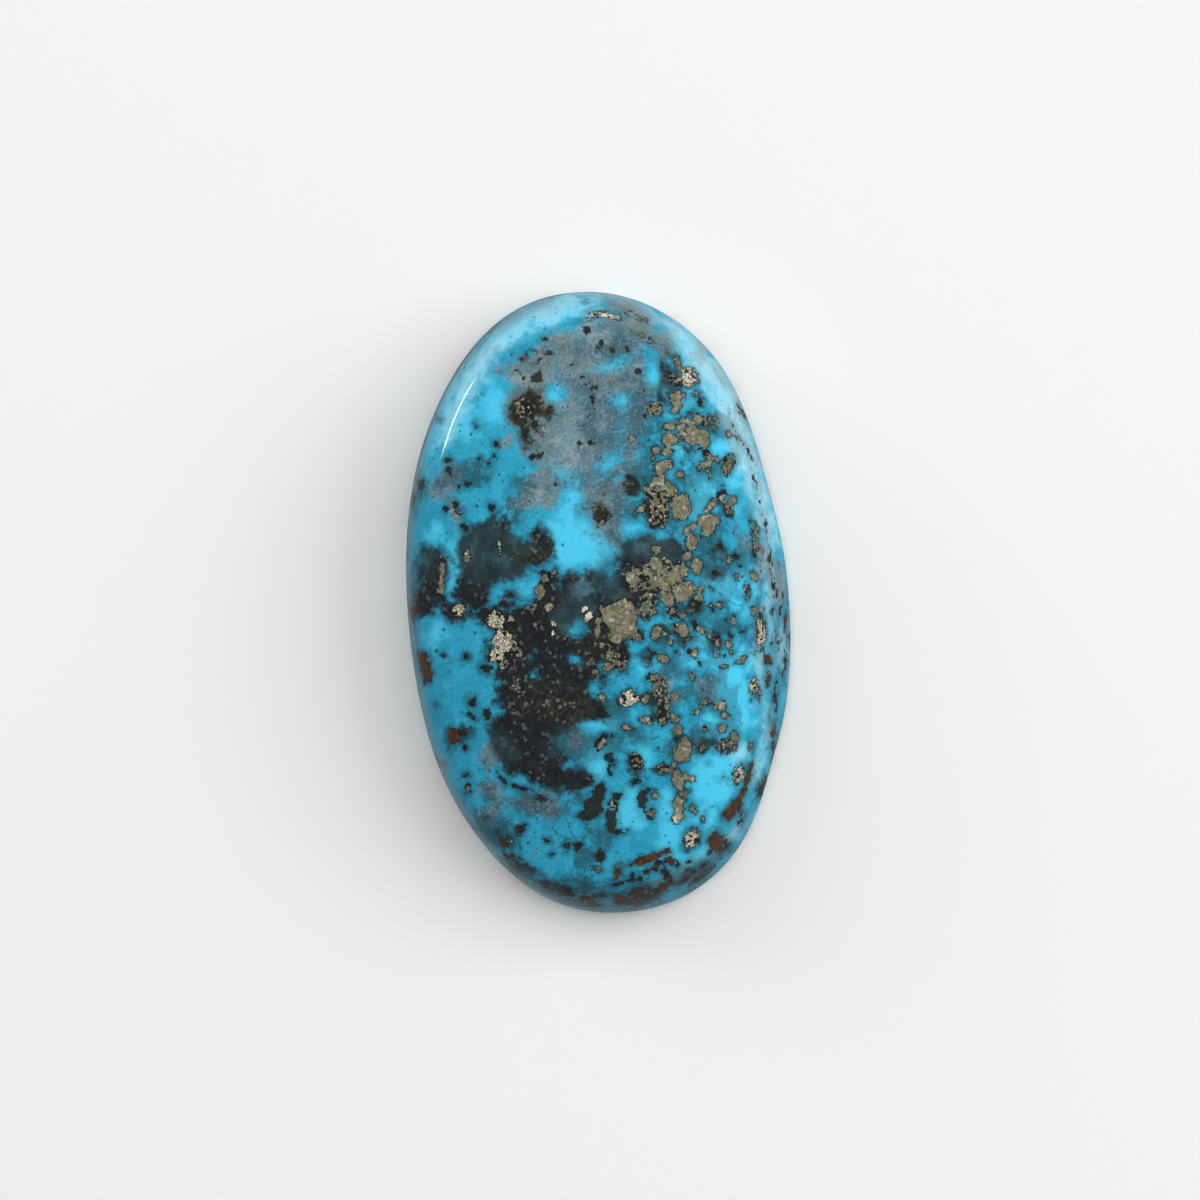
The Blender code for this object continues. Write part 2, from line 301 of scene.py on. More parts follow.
# Each marking is given in pixels of the picture and laid on the stone from the camera.
# An area is its corners. A spot is (x, y, half width, half height) and, where it isn't upright, the degrees
# that it leans to the right. A vein is its points and half its thickness. An island is a spot left out.
markings = {
    "quartz": {
        "areas": {
            "grey cap": [
                (494, 371), (504, 363), (516, 356), (526, 350), (535, 344), (546, 336), (559, 333),
                (568, 333), (577, 328), (582, 321), (590, 316), (604, 312), (616, 316), (629, 312),
                (642, 314), (654, 325), (667, 334), (672, 345), (674, 356), (668, 361), (662, 364),
                (658, 380), (656, 392), (650, 404), (648, 416), (642, 424), (638, 440), (640, 456),
                (638, 470), (630, 478), (618, 477), (606, 475), (594, 477), (584, 482), (578, 478),
                (572, 476), (566, 483), (563, 490), (561, 502), (554, 512), (540, 508), (530, 510),
                (522, 508), (515, 505), (521, 490), (526, 476), (535, 465), (526, 458), (519, 454),
                (516, 443), (518, 431), (509, 422), (505, 409), (507, 396), (511, 384), (505, 375),
            ],
            "brown grey by the bright island": [
                (582, 478), (596, 474), (612, 476), (628, 478), (625, 490), (622, 500), (624, 510),
                (620, 521), (619, 538), (617, 548), (608, 541), (599, 534), (589, 525), (584, 512),
                (581, 498),
            ],
            "streak at the lower left": [
                (477, 787), (487, 783), (501, 788), (511, 795), (521, 801), (533, 806), (542, 799),
                (551, 798), (560, 802), (559, 815), (549, 819), (535, 813), (525, 806), (515, 805),
                (504, 809), (495, 813), (487, 819), (483, 815), (490, 805), (495, 801), (490, 795),
                (478, 794),
            ],
            "brown on the top rim": [
                (603, 298), (616, 298), (634, 301), (642, 308), (656, 318), (668, 330), (674, 343),
                (667, 342), (656, 334), (643, 318), (628, 313), (614, 312), (606, 305),
            ],
        },
        "spots": [
            (583, 588, 14, 11), (493, 754, 13, 11), (446, 482, 10, 14), (508, 443, 9, 8), (456, 511, 6, 11),
            (763, 554, 2.2, 9, -8), (706, 686, 9, 9), (741, 536, 8, 9), (664, 690, 10, 12),
            (576, 738, 10, 9), (440, 764, 5, 3), (537, 854, 4, 3.4), (702, 352, 7, 9, -20),
            (720, 380, 4, 10, -25), (746, 421, 4, 12, -25), (757, 452, 4, 12, -20), (764, 480, 3, 9, -15),
            (781, 588, 7, 34, -5),
        ],
        "veins": [([(505, 327), (520, 317), (540, 306), (548, 304)], 4.2)],
        "islands": [
            (652, 354, 4.5, 8, -10), (653, 373, 7, 11, 10), (615, 363, 12, 4.6, -24),
            (622, 402, 11, 8, -15), (612, 461, 4, 13, 40), (555, 394, 7, 7), (622, 430, 5, 9),
        ],
    },
    "matrix": {
        "areas": {
            "blot in the grey cap": [
                (511, 401), (525, 396), (529, 391), (540, 390), (543, 401), (547, 406), (553, 404),
                (556, 411), (549, 419), (540, 419), (535, 420), (526, 422), (522, 427), (515, 423),
                (508, 417), (505, 410),
            ],
            "band on the left": [
                (425, 549), (435, 549), (447, 555), (448, 570), (445, 592), (444, 601), (448, 609),
                (434, 604), (432, 612), (420, 619), (404, 624), (406, 604), (415, 600), (420, 585),
                (420, 575), (421, 564),
            ],
            "slate beside the bright island": [
                (463, 540), (468, 529), (479, 527), (490, 521), (504, 515), (511, 524), (515, 534),
                (524, 542), (530, 532), (538, 524), (549, 533), (553, 546), (553, 559), (540, 565),
                (526, 571), (512, 577), (496, 583), (488, 592), (489, 606), (479, 612), (468, 613),
                (456, 600), (452, 597), (456, 587), (461, 575), (462, 564), (461, 550),
            ],
            "dark heart": [
                (468, 612), (479, 606), (490, 604), (499, 607), (510, 612), (517, 611), (524, 604),
                (533, 602), (538, 592), (541, 582), (549, 572), (556, 574), (560, 588), (565, 604),
                (577, 610), (590, 606), (601, 599), (606, 588), (616, 577), (628, 566), (640, 560),
                (652, 596), (640, 604), (634, 614), (640, 624), (634, 636), (624, 642), (629, 655),
                (634, 664), (628, 672), (615, 674), (602, 684), (597, 695), (603, 706), (610, 716),
                (604, 722), (588, 719), (578, 724), (566, 732), (554, 736), (553, 748), (565, 757),
                (562, 768), (573, 772), (584, 769), (596, 777), (594, 786), (582, 792), (568, 794),
                (558, 789), (547, 786), (532, 782), (526, 776), (512, 776), (504, 770), (498, 758),
                (492, 742), (490, 730), (495, 718), (505, 712), (497, 701), (498, 690), (496, 676),
                (496, 664), (495, 654), (496, 641), (492, 632), (480, 624),
            ],
            "above the gold cluster": [
                (626, 546), (636, 536), (648, 533), (659, 538), (672, 539), (682, 543), (685, 554),
                (676, 562), (662, 560), (645, 566), (630, 574), (618, 580), (614, 568), (620, 556),
            ],
            "under the gold heart": [
                (676, 603), (686, 604), (694, 597), (702, 596), (702, 606), (698, 612), (688, 612),
                (680, 609),
            ],
            "upper right": [
                (660, 368), (668, 364), (678, 370), (684, 380), (681, 390), (672, 391), (664, 388),
                (666, 398), (670, 406), (664, 412), (657, 408), (656, 394), (660, 384),
            ],
        },
        "spots": [
            (583, 591, 26, 19), (457.5, 612, 12, 11), (508, 598.6, 9, 9), (602, 514, 8, 10),
            (491, 653, 6, 11), (503, 519, 8, 6), (633, 484, 9, 8), (654, 699, 8, 9), (661, 716, 9, 7),
            (463, 733.5, 10, 8), (719, 549, 7, 5, 20), (716, 572.6, 6, 5), (654, 508, 10, 20),
            (662, 630, 9, 8), (717, 639, 6, 8), (634, 763, 8, 9.5), (689, 452, 5, 4), (684, 462, 4, 3),
            (648, 658, 9, 6), (716, 844, 9, 11), (527, 357, 7, 3, -40), (640, 898, 16, 9, -15),
            (589, 901, 12, 6, 10), (704, 742, 8, 6), (677, 738, 7, 6), (686, 638, 8, 4),
            (520, 866, 7, 4, 30), (556, 890, 12, 4, 22), (761, 790, 6, 7, 20), (724, 847, 7, 5),
            (692, 873, 7, 4, -30), (684, 880, 7, 4, -20), (697, 880, 7, 3, -25), (705, 866, 4.5, 3, -20),
            (535, 425, 12, 6, 40), (525, 434, 8, 12),
        ],
        "islands": [
            (583, 588, 12, 9), (578, 629, 9, 10), (533, 676, 4, 8, -10), (560, 742, 8, 6, 20),
            (510, 601, 3, 3), (575, 661, 6, 6), (529, 657, 5, 3, -20), (604, 668, 4, 4),
            (596, 690, 5, 8, 20),
        ],
    },
    "bits": {
        "areas": {
            "leg under the heart": [
                (595, 787), (599, 781), (603, 781), (605, 791), (603, 802), (603, 812), (597, 817),
                (592, 819), (584, 823), (577, 816), (584, 808), (589, 797),
            ],
            "foot of the leg": [
                (604, 811), (616, 811), (618, 820), (615, 829), (628, 830), (618, 833), (609, 833),
                (607, 824),
            ],
        },
        "spots": [
            (537, 379, 5.4, 5.4), (543, 340, 3.4, 1.8, -25), (549, 352, 3.6, 2.4), (538, 361, 4, 2, -35),
            (582, 381, 2, 3), (587, 385, 2.4, 2.2), (594, 388, 3, 3.6, -20), (593, 400, 1.8, 4, -15),
            (571, 362, 1.8, 1.8), (580, 443, 3, 2.6), (591.5, 444, 3, 2.6), (538, 455, 3.6, 4.8, 15),
            (532.6, 457, 2, 2.6), (557, 483, 2, 1.8), (549, 448, 1.5, 1.5), (496, 444, 2.6, 2.6),
            (476, 424.5, 2.2, 2.6), (440, 419, 2, 1.6), (448, 461, 3, 3), (449, 469, 2.6, 4.6, -10),
            (469, 484, 5, 2.8), (457.5, 487.7, 2, 2), (421, 485, 3.4, 8, -5), (414, 500, 2.4, 6.5, 5),
            (455, 505, 3, 3.4), (459, 510, 4, 2.6, 30), (466, 528, 3, 6, -20), (445, 508, 1.8, 2.2),
            (492.6, 506.7, 3.4, 3.4), (513.7, 502, 2.4, 1.4), (545, 578, 5.6, 8, -5), (553.6, 570.5, 3, 4),
            (466, 656, 3, 3.2), (485.6, 667.3, 5, 3.4), (443.5, 654.7, 1.3, 1.3), (472.3, 702, 4.5, 5),
            (470, 713, 1.6, 2), (473.7, 718, 3, 3.4), (487, 714.6, 3.4, 4.4), (437, 703.3, 1.5, 1.8),
            (463, 733, 6, 4.4), (466, 746.8, 3.2, 2.8), (466, 775, 1.6, 1.4), (468, 787, 2.6, 3.2),
            (520, 830.3, 4.4, 6.4, 25), (508, 838, 4, 3, 30), (546.6, 841, 2.2, 1.8),
            (566.3, 845, 3.2, 3.8), (578, 845.7, 5.4, 5.2), (600, 854, 4.2, 6), (552, 853.5, 1.3, 1.3),
            (586.6, 887, 3, 2), (568.4, 893.5, 5, 3, 15), (540.3, 799.4, 6, 3.6, 20),
            (610.7, 758.8, 4.2, 6.2, -25), (540, 372, 1.4, 1.4), (609, 772.8, 2.4, 2.4),
            (599.4, 743.3, 4, 9, 42), (612, 735, 1.3, 1.4), (617.2, 796.6, 5, 3.6, -15),
            (612.3, 803.7, 4, 3.4), (643, 799, 4.4, 11.5, 5), (647.3, 789.6, 4, 3, 20),
            (636, 782, 4.2, 3.2), (702, 749.6, 4, 3.2), (704.6, 729.3, 3, 2.8), (728, 779, 3.4, 1.8),
            (741.4, 820.5, 2.4, 5, 10), (705, 452.6, 4.6, 2.6, 30), (644.5, 415, 3, 2.4),
            (639.5, 393, 3.6, 1.8, -40), (637.7, 372, 3, 2.6), (661, 364.5, 2.6, 2.6), (700.7, 402, 4, 4.4),
            (728, 465, 5.6, 8.6, 15), (721.7, 494, 4, 7), (728.7, 510, 4.4, 7), (735.7, 557.4, 3, 3),
            (720, 547, 3.4, 3, 30), (716, 573, 4, 3.4), (694.4, 624.5, 3.6, 3), (717, 640, 4, 4.4, 20),
            (727, 620, 3, 3), (689.4, 651.4, 3.4, 3.4), (655, 655, 4, 2, 30), (652, 677, 4.4, 4.4),
            (746.5, 592, 3.4, 5.4), (754, 553, 2.6, 4), (773, 582, 1.8, 7, -10), (776, 592, 1.8, 3.4),
            (782, 599, 1.6, 4), (773, 611, 1.6, 4), (780.5, 611, 1.4, 4), (785, 622, 1.6, 7),
            (789, 637, 1.3, 6), (785, 660, 1.5, 6), (782, 675, 1.5, 4), (774.5, 697, 2, 10, 3),
            (775.5, 752, 1.8, 9, 8), (762, 786, 2.6, 8, 22), (741, 411, 1.6, 5, -25),
            (736, 432, 1.2, 5, -20), (748, 452, 0.9, 5, -18), (756, 486, 0.9, 5, -14),
            (765, 526, 0.9, 5, -10), (770, 558, 1.2, 5, -6), (778, 640, 1.4, 6), (771, 644, 1.2, 3),
            (689.4, 862, 1.8, 1.8), (725, 843, 3, 4), (633, 875.4, 8, 2.2, -12), (665, 871, 2.6, 6, -15),
            (704, 866, 3.4, 2.2, -20), (691, 872, 4, 2.4, -30), (684, 879.6, 4.6, 2.6, -20),
            (698, 879, 4, 2, -20), (586, 330, 3.4, 2.6), (600, 343, 2.6, 4.4), (612, 351, 2, 3),
            (627, 349, 2, 2), (480, 459, 1.6, 1.6), (489, 463, 1.4, 1.4), (494, 456, 1.2, 1.2),
            (628, 478, 3, 3), (602, 515, 4, 5), (516, 402, 2.6, 2.6), (533, 352, 1.4, 1.4),
            (519, 372, 3, 2), (522, 376, 2.4, 2), (590, 899, 5, 2.4), (545, 885, 4, 2.4, 22),
            (509, 857, 4, 2.4, 40), (741, 566, 2, 2), (711, 588, 1.6, 1.6), (715, 611, 3, 2, 30),
            (731, 636, 2, 3), (742, 633, 1.6, 3), (725, 655, 1.6, 1.6), (700, 663, 1.6, 1.6),
            (676, 652, 1.4, 1.4),
        ],
        "veins": [
            ([(646, 873), (658, 864), (670, 860), (677, 866)], 2.2),
            ([(614, 885), (628, 880), (640, 878)], 1.6), ([(656, 893), (664, 886), (671, 880)], 2.6),
            ([(497, 774), (506, 783), (519, 788), (533, 790)], 0.9),
        ],
    },
    "pyrite": {
        "areas": {
            "crumb at the top right": [
                (670, 397), (675, 392), (678, 391), (680, 394), (685, 393), (684, 397), (680, 401),
                (681, 405), (678, 411), (674, 413), (671, 411), (673, 405), (670, 402),
            ],
            "largest of the upper right": [
                (691, 422), (696, 422), (697, 429), (705, 430), (709, 435), (709, 441), (704, 447),
                (700, 443), (696, 443), (692, 445), (684, 441), (684, 436), (688, 428),
            ],
            "shell beside it": [
                (664, 436), (668, 433), (677, 436), (680, 440), (677, 444), (668, 447), (664, 443),
            ],
            "branched": [
                (654.4, 461), (660, 462.4), (664, 461), (671, 457), (672.6, 461), (666, 464), (668, 465.4),
                (673, 464), (674, 468.6), (668, 469.6), (664, 473.6), (661, 476.4), (657, 475), (656, 468),
            ],
            "broken heart": [
                (699.3, 515), (708, 514.6), (717, 516.5), (718, 522), (714.7, 527.7), (712, 536),
                (709.6, 538), (703.5, 534.7), (700.7, 527.7), (699.3, 520.7),
            ],
            "gold heart": [
                (672.6, 588), (678, 585), (684, 584), (688.7, 581.7), (695.8, 587.3), (694.4, 592.2),
                (688, 598), (684, 601.4), (678.2, 602), (674, 596.5),
            ],
            "great disc": [
                (613.7, 602), (623.5, 598), (629, 602), (634.7, 607.7), (637.5, 616), (636, 624.5),
                (632, 633), (625, 638.6), (616.5, 643.5), (609.5, 640), (608, 634.3), (611, 628.7),
                (605.3, 623), (602.4, 619), (601, 613.3), (606.7, 606.3),
            ],
            "great oval": [
                (685.2, 737.7), (690, 743.3), (690.8, 750.3), (688.7, 758.8), (681, 762.3), (673.3, 758.8),
                (673.3, 751.7), (678.2, 746), (680.3, 740.5),
            ],
            "stem above the spear": [
                (678.2, 769), (682.4, 780), (683, 787), (680.3, 791.4), (676.8, 788), (672.6, 781),
                (672, 774),
            ],
            "wedge by the spear": [(689.4, 789.6), (683.8, 798), (680.8, 795.2), (684, 791)],
            "bright spear": [
                (676.8, 792.6), (680, 798), (683.6, 802), (683, 815), (680.3, 822), (676, 822.6),
                (673.3, 819), (674, 806.5), (674.7, 798),
            ],
            "sliver on the left": [
                (442.6, 557), (444.4, 564), (443.6, 578), (442, 594), (437.4, 592), (440, 580), (442, 566),
            ],
        },
        "spots": [
            (592, 316, 6, 1.5, -20), (606, 314.4, 7, 1.5, 6), (616, 317, 2.6, 1.3, 20), (629, 314, 3, 1.5),
            (639, 317.4, 4, 1.4, 25), (650.6, 340, 4, 2.2, 30), (643, 336, 3, 1.2, 40),
            (676.8, 362.8, 2.6, 5, -18), (681, 370, 2, 2), (696.4, 394.4, 2.6, 2.2), (651.6, 405, 2.2, 2.8),
            (659.6, 409, 1.8, 2.2), (660, 414.4, 1.8, 2.2), (670, 427.3, 5.4, 3.4, -10),
            (682.4, 424.6, 3, 8.4, 28), (674.7, 423, 1.4, 1.6), (698, 418, 4.2, 4.2),
            (715.4, 418.4, 2.4, 3.2), (714, 429, 2, 3), (729, 435, 1.8, 2.4), (668.4, 452, 4.8, 2.8, -15),
            (655.8, 450.6, 3.4, 5), (654.4, 458.6, 1.8, 1.8), (680.3, 474.4, 3.2, 3), (703, 466, 7, 3, -26),
            (712.6, 458.2, 4.6, 1.6, 24), (709.4, 472.6, 1, 4, -8), (729.4, 462, 1.8, 4.6, 15),
            (726, 470, 1.8, 2.8, 10), (658.6, 480.6, 4.6, 4), (646, 489, 3.2, 2.8),
            (651.6, 485.4, 1.8, 1.8), (662.8, 488, 3.2, 3.2), (670.8, 491, 4.2, 3.4),
            (632.6, 438.6, 3, 3.2), (680.4, 506.8, 9.4, 11.8, 5), (641.8, 507.6, 1.9, 3.4, 35),
            (636.8, 514.2, 1.6, 2.4, 20), (723, 498.2, 2.6, 4), (731.5, 501, 3.6, 4),
            (711.2, 505, 3.6, 5.4, 20), (706.8, 510.4, 3, 2.4), (693, 527, 3, 4), (688, 531, 2.6, 5, 10),
            (691.6, 541.6, 6.6, 8.2, 22), (687.2, 556.6, 4.4, 5, 15), (697.4, 566, 5.4, 7.2, 8),
            (656.6, 548.8, 4.2, 4.2), (655.4, 564.4, 5, 6.6), (636, 570, 4.2, 2.6, -10),
            (631.4, 580, 4, 7, -15), (656.6, 580.4, 6, 7), (674, 575.6, 5, 8, 15),
            (684.4, 572.4, 3.8, 6, -15), (665.4, 571, 3, 3), (668.4, 600, 5.8, 6),
            (698.6, 597, 3, 3.4, -20), (664, 589, 3, 4), (646, 572, 2.4, 2.2), (598.4, 620, 2, 4, 15),
            (597.8, 630.6, 2.8, 4.6), (602.6, 609.6, 2.6, 4.4, 30), (612, 631, 2.4, 3),
            (602, 645.6, 3.8, 4), (609, 651.6, 2.4, 5.6), (607.8, 666.4, 3.7, 3.3), (594.4, 672, 2.4, 1.6),
            (589.4, 615.4, 3.6, 3.4), (584.5, 610, 2.4, 2.4), (586, 620, 1.5, 1.9),
            (655.4, 633, 3.4, 5.4, 35), (667, 638.8, 2, 4.6, -30), (683, 630, 5.4, 6),
            (704, 631.6, 5.4, 1.7, 35), (710, 635.6, 2.4, 1.4, 35), (718.4, 641.4, 1.1, 4.6, 10),
            (728.8, 643.5, 2.3, 2.2), (684.5, 646.4, 2.1, 2), (694, 653.4, 2.8, 3.2),
            (717.6, 654.8, 2.4, 2.1), (740, 660.4, 7.6, 1.7, -28), (722.4, 666.6, 2, 1.5),
            (661.6, 659, 5.6, 3.4, 10), (652.8, 677, 2.4, 3), (691.6, 676.4, 2.2, 3.4, 10),
            (733.4, 618.6, 2.6, 3.4), (720.4, 604.2, 2.8, 2.8), (753.4, 612, 2.4, 3.4), (747, 596, 2.8, 3),
            (745, 587.8, 1.8, 2.6), (736.4, 576.2, 3.2, 2.7), (754, 576, 2.5, 3.6),
            (730.6, 558.6, 3.6, 2.8), (701.4, 588, 1.3, 1.3), (683, 615.4, 2, 2),
            (646.6, 697.8, 2.6, 4, 10), (675, 696, 2.4, 2, 20), (644.6, 719.4, 4, 4.4),
            (664, 718, 1.6, 3, 20), (674.8, 718.8, 4.8, 3.6, -5), (678.4, 730, 4.2, 4.8, -10),
            (675.4, 764.4, 1.7, 2.4, 25), (627, 728, 3.4, 1.9, 15), (684.6, 777, 2.2, 3.2),
            (691.6, 780, 2.6, 2.4), (686, 799.4, 1.3, 1.7), (693.6, 809.4, 3.2, 3.8, -15),
            (702.8, 819, 1.7, 2.8, 20), (720.4, 706, 5.6, 4, -5), (725.2, 716.8, 3, 2.4, 15),
            (721.8, 728, 4.4, 4.5), (704.4, 730, 1.7, 1.7), (734.4, 737.6, 4, 5, -20), (750.6, 747, 1.6, 3),
            (699.4, 708, 1.4, 5, 38), (704, 702.6, 2.6, 1.4, -10), (545, 579, 2.2, 3.4),
            (553.8, 570.6, 1.8, 2.6), (540, 591, 4.4, 4.6, 30), (541, 597.6, 2.4, 2),
            (531, 607.4, 4.8, 2.9), (548.8, 608.4, 4.2, 4.2), (558.6, 612, 1.8, 1.3),
            (553, 624, 2.4, 2.8, 20), (554.3, 633, 2.9, 2.7), (534.8, 627.4, 1.2, 2.6),
            (565, 638.8, 1.5, 1.2), (509.4, 619.8, 3, 2, -10), (467, 556, 3.6, 4.6), (499, 546, 1.3, 3),
            (499.8, 552, 1.5, 3.4, -5), (597, 868.4, 2.8, 2.3), (487, 817.6, 1.4, 1.4),
            (509.4, 841, 1.6, 1.3), (602, 521.6, 1.6, 4, 32), (655.8, 794.6, 3.2, 2.4, 15),
            (589, 901, 5, 1.2, -8), (468, 788.6, 1.2, 1.2), (757, 532, 1.4, 4, -8), (760, 545, 1.4, 5, -8),
            (600.6, 745, 1.3, 4, 42), (519, 680.6, 3.6, 1.2, -42), (601, 697.5, 4, 3, 20),
        ],
    },
    "crumbs": {
        "areas": {
            "top of the right side": [
                (650, 483), (662, 479), (676, 487), (677, 498), (670, 503), (669, 518), (665, 528),
                (655, 529), (650, 521), (649, 505), (646, 495),
            ],
            "round the gold cluster": [
                (630, 572), (646, 564), (660, 560), (676, 561), (684, 560), (688, 572), (680, 584),
                (668, 592), (655, 596), (646, 588), (634, 592), (626, 586), (624, 574),
            ],
            "between cluster and disc": [
                (641, 597), (651, 590), (659, 600), (655, 613), (645, 622), (637, 612),
            ],
        },
        "spots": [
            (636, 634, 8, 6, 30), (619, 662, 9, 8, 30), (612, 656, 5, 6), (674, 612, 8, 4.6, 20),
            (677, 629, 6, 5), (627.5, 698, 9.5, 7, -15), (660, 690, 8, 9), (664, 703, 6, 7),
            (650, 721, 4, 4), (726, 746, 11, 7, -15), (665, 770, 7, 4.6), (636, 760, 6, 7),
            (664, 716, 4, 7), (691, 839, 7.5, 11, 25), (739, 774, 4, 8.5, 20), (761, 630, 4.6, 16),
            (754.6, 688, 4, 8, -10), (460, 609, 6.5, 6), (495.4, 620.4, 7, 9, -15), (502, 641, 10.5, 11),
            (498, 655, 7, 8), (516, 653, 5, 6), (504, 666, 5, 5), (520, 690, 5, 4, 40),
            (689, 378, 8, 9, -20), (671, 377, 3, 5), (656, 409, 7, 7), (706.6, 420, 5, 6),
            (728.6, 509, 4, 7), (729, 465, 5, 9, 20), (651, 813, 3.4, 4, 35), (612.4, 803.6, 4, 3.6),
            (754, 537, 1.5, 9, -8), (677, 382, 6, 5), (531, 352, 3, 2), (524, 408, 9, 8), (704, 749, 3, 3),
            (655, 677, 3, 3),
        ],
    },
    # painted glints: pyrite drawn pale and silvery where it catches the light
    "silver": {
        "spots": [
            (460, 610, 8, 8), (499, 636, 16, 30), (689, 378, 8, 9), (761, 630, 6, 17), (628, 699, 12, 10),
            (675, 818, 4, 7), (691, 839, 8, 11), (739, 772, 4, 8), (755, 686, 5, 8), (551, 630, 10, 10),
            (499, 549, 3, 8), (587, 614, 8, 8), (612, 803, 5, 4), (509, 841, 3, 3), (606, 314, 30, 5),
        ],
    },
    "bronze": {
        "spots": [
            (566, 704, 26, 22, 10), (535, 700, 20, 18), (590, 640, 12, 16), (600, 668, 14, 12),
            (533, 558, 18, 9), (593, 803, 10, 16, 10), (643, 801, 6, 12), (530, 408, 26, 20),
            (612, 820, 8, 12), (421, 488, 6, 10), (538, 379, 7, 7), (606, 368, 26, 22),
            (640, 322, 34, 16, 30), (500, 797, 30, 12, 15), (550, 808, 18, 10), (605, 508, 14, 26),
            (548, 356, 20, 12, -30), (630, 392, 16, 18), (752, 424, 6, 22, -25), (660, 345, 14, 18),
        ],
    },
    "slate": {
        "spots": [
            (498, 554, 38, 34), (650, 545, 40, 14), (430, 560, 10, 16), (575, 612, 24, 20),
            (610, 585, 16, 18), (500, 752, 12, 14), (668, 388, 14, 26), (654, 699, 14, 14),
            (704, 742, 10, 8), (660, 640, 14, 14), (575, 740, 20, 14), (718, 560, 12, 20),
            (717, 640, 9, 10), (556, 885, 30, 10, 15), (700, 872, 30, 14, -30),
        ],
    },
    "rust": {
        "areas": {
            "arrowhead on the left": [
                (418, 651), (425, 652.6), (431.6, 664), (432, 673), (429.5, 681), (425, 683.5),
                (421.6, 673.6), (418, 661),
            ],
            "band on the lower right": [
                (752.6, 761.6), (754, 766), (750.5, 780), (745.6, 791), (741.4, 799.4), (740, 809),
                (735.7, 816), (728.7, 820), (720.3, 820.5), (723, 813.5), (728.7, 809.3), (733, 801),
                (738.6, 795), (741.4, 788), (744.2, 780), (747, 770),
            ],
            "streak at the bottom": [
                (630, 863), (640, 858.4), (652, 853.5), (668, 849.3), (670, 851.4), (661.4, 856.3),
                (651, 861.2), (640, 864.7), (631, 866),
            ],
        },
        "spots": [
            (454.6, 737, 6.4, 8), (467, 556, 4.4, 5.4), (503.6, 841.5, 4.4, 6.2, -20),
            (495.4, 831.6, 3.4, 1.7, -20), (511, 857, 3, 1.8, -20), (617.2, 872.4, 3.6, 6.4, 20),
            (656, 868, 5, 2, -30), (671, 861.6, 4, 2.2, 20), (716, 841.5, 6.8, 9.4, 8),
            (698, 841.6, 2.6, 2.8), (767, 660, 4.6, 6), (768, 679, 3.4, 6), (773, 733, 3, 13, -3),
            (589, 899, 7, 3, 8), (622, 900, 9, 5), (545, 885, 3, 1.8, 22), (664.4, 886, 4, 7, 42),
            (776, 592, 1.4, 3), (785, 622, 1.4, 6), (634, 893, 8, 4),
        ],
    },
    # brighter blue of the stone; the long spots along the upper left shoulder and the top rim, and the
    # patch low on the right, are painted highlight
    "bright": {
        "areas": {
            "bright island": [
                (567, 484), (573, 478), (580, 482), (584, 500), (588, 520), (598, 532), (607, 542),
                (614, 551), (612, 558), (603, 564), (595, 567), (586, 563), (575, 566), (563, 565),
                (555, 559), (551, 552), (550, 536), (552, 522), (559, 508),
            ],
        },
        "spots": [
            (555, 394, 8, 8), (622, 402, 7, 5, -15), (653, 374, 7, 12, 10), (652, 352, 4, 6),
            (615, 363, 8, 3.4, -24), (688, 401, 6, 9), (681, 451, 8, 7), (696, 457, 8, 4, 20),
            (722, 447, 13, 9), (706, 488, 13, 12), (731, 477, 8, 12), (619, 436, 2.6, 7, 10),
            (612, 461, 3, 9, 40), (698, 512, 6, 20, 40), (634, 527, 9, 4, 8), (742, 590, 12, 20),
            (734, 505, 6, 7), (725, 586, 16, 12), (722, 662, 22, 8, -6), (735, 684, 18, 26),
            (716, 780, 24, 26, 20), (643, 757, 7, 8), (597, 762, 9, 16), (630, 812, 20, 20),
            (596, 725, 14, 7, -10), (741, 751, 12, 9), (664, 800, 8, 14), (706, 640, 14, 8),
            (712, 724, 10, 9), (744, 720, 10, 9), (648, 664, 12, 8, -20), (706, 850, 16, 9, -20),
            (704, 815, 12, 10), (671, 836, 11, 20, 10), (696, 660, 13, 8), (713, 740, 9, 8),
            (667, 811, 9, 9), (682, 860, 10, 6), (562, 474, 8, 8), (476, 427, 6, 9), (436, 634, 10, 8),
            (742, 656, 8, 14), (442, 410, 10, 56, 20), (527, 320, 34, 9, -28), (575, 310, 16, 8),
            (532, 587, 14, 5, -15), (454, 572, 7, 24), (436, 532, 8, 8), (494, 404, 11, 18),
            (466, 424, 8, 16, 10), (560, 530, 14, 20),
        ],
    },
    # paler blue along the shoulders and the top rim, partly the stone's own and partly painted sheen, the
    # reflection that the shoulders catch
    "pale": {
        "areas": {
            "band on the right shoulder": [
                (646, 310), (664, 314), (692, 330), (722, 360), (745, 395), (762, 440), (772, 480),
                (786, 545), (768, 560), (757, 535), (750, 503), (742, 480), (735, 458), (727, 438),
                (717, 416), (710, 402), (698, 378), (688, 362), (674, 342), (658, 324),
            ],
            "light on the upper left": [
                (436, 446), (444, 410), (456, 380), (474, 350), (500, 326), (530, 303), (562, 288),
                (600, 284), (606, 298), (580, 306), (556, 318), (532, 330), (510, 346), (494, 362),
                (480, 384), (466, 410), (452, 440),
            ],
        },
        "spots": [
            (768, 600, 4, 30), (760, 665, 5, 30), (741, 751, 10, 9), (766, 720, 4, 30, 4),
            (756, 770, 5, 16, 20), (735, 830, 16, 4, -50), (690, 866, 20, 3, -35), (771, 520, 5, 20, -10),
            (784, 642, 5, 24), (586, 308, 15, 7, -15), (652, 318, 20, 7, 35), (692, 372, 6, 10, -30),
            (760, 518, 9, 26, -10), (736, 432, 8, 14, -30),
        ],
        "veins": [([(578, 305), (606, 293), (640, 302), (664, 322)], 5)],
    },
    "deep": {
        "spots": [
            (644, 440, 10, 30), (640, 470, 20, 16), (638, 398, 11, 28), (500, 832, 26, 14, 35),
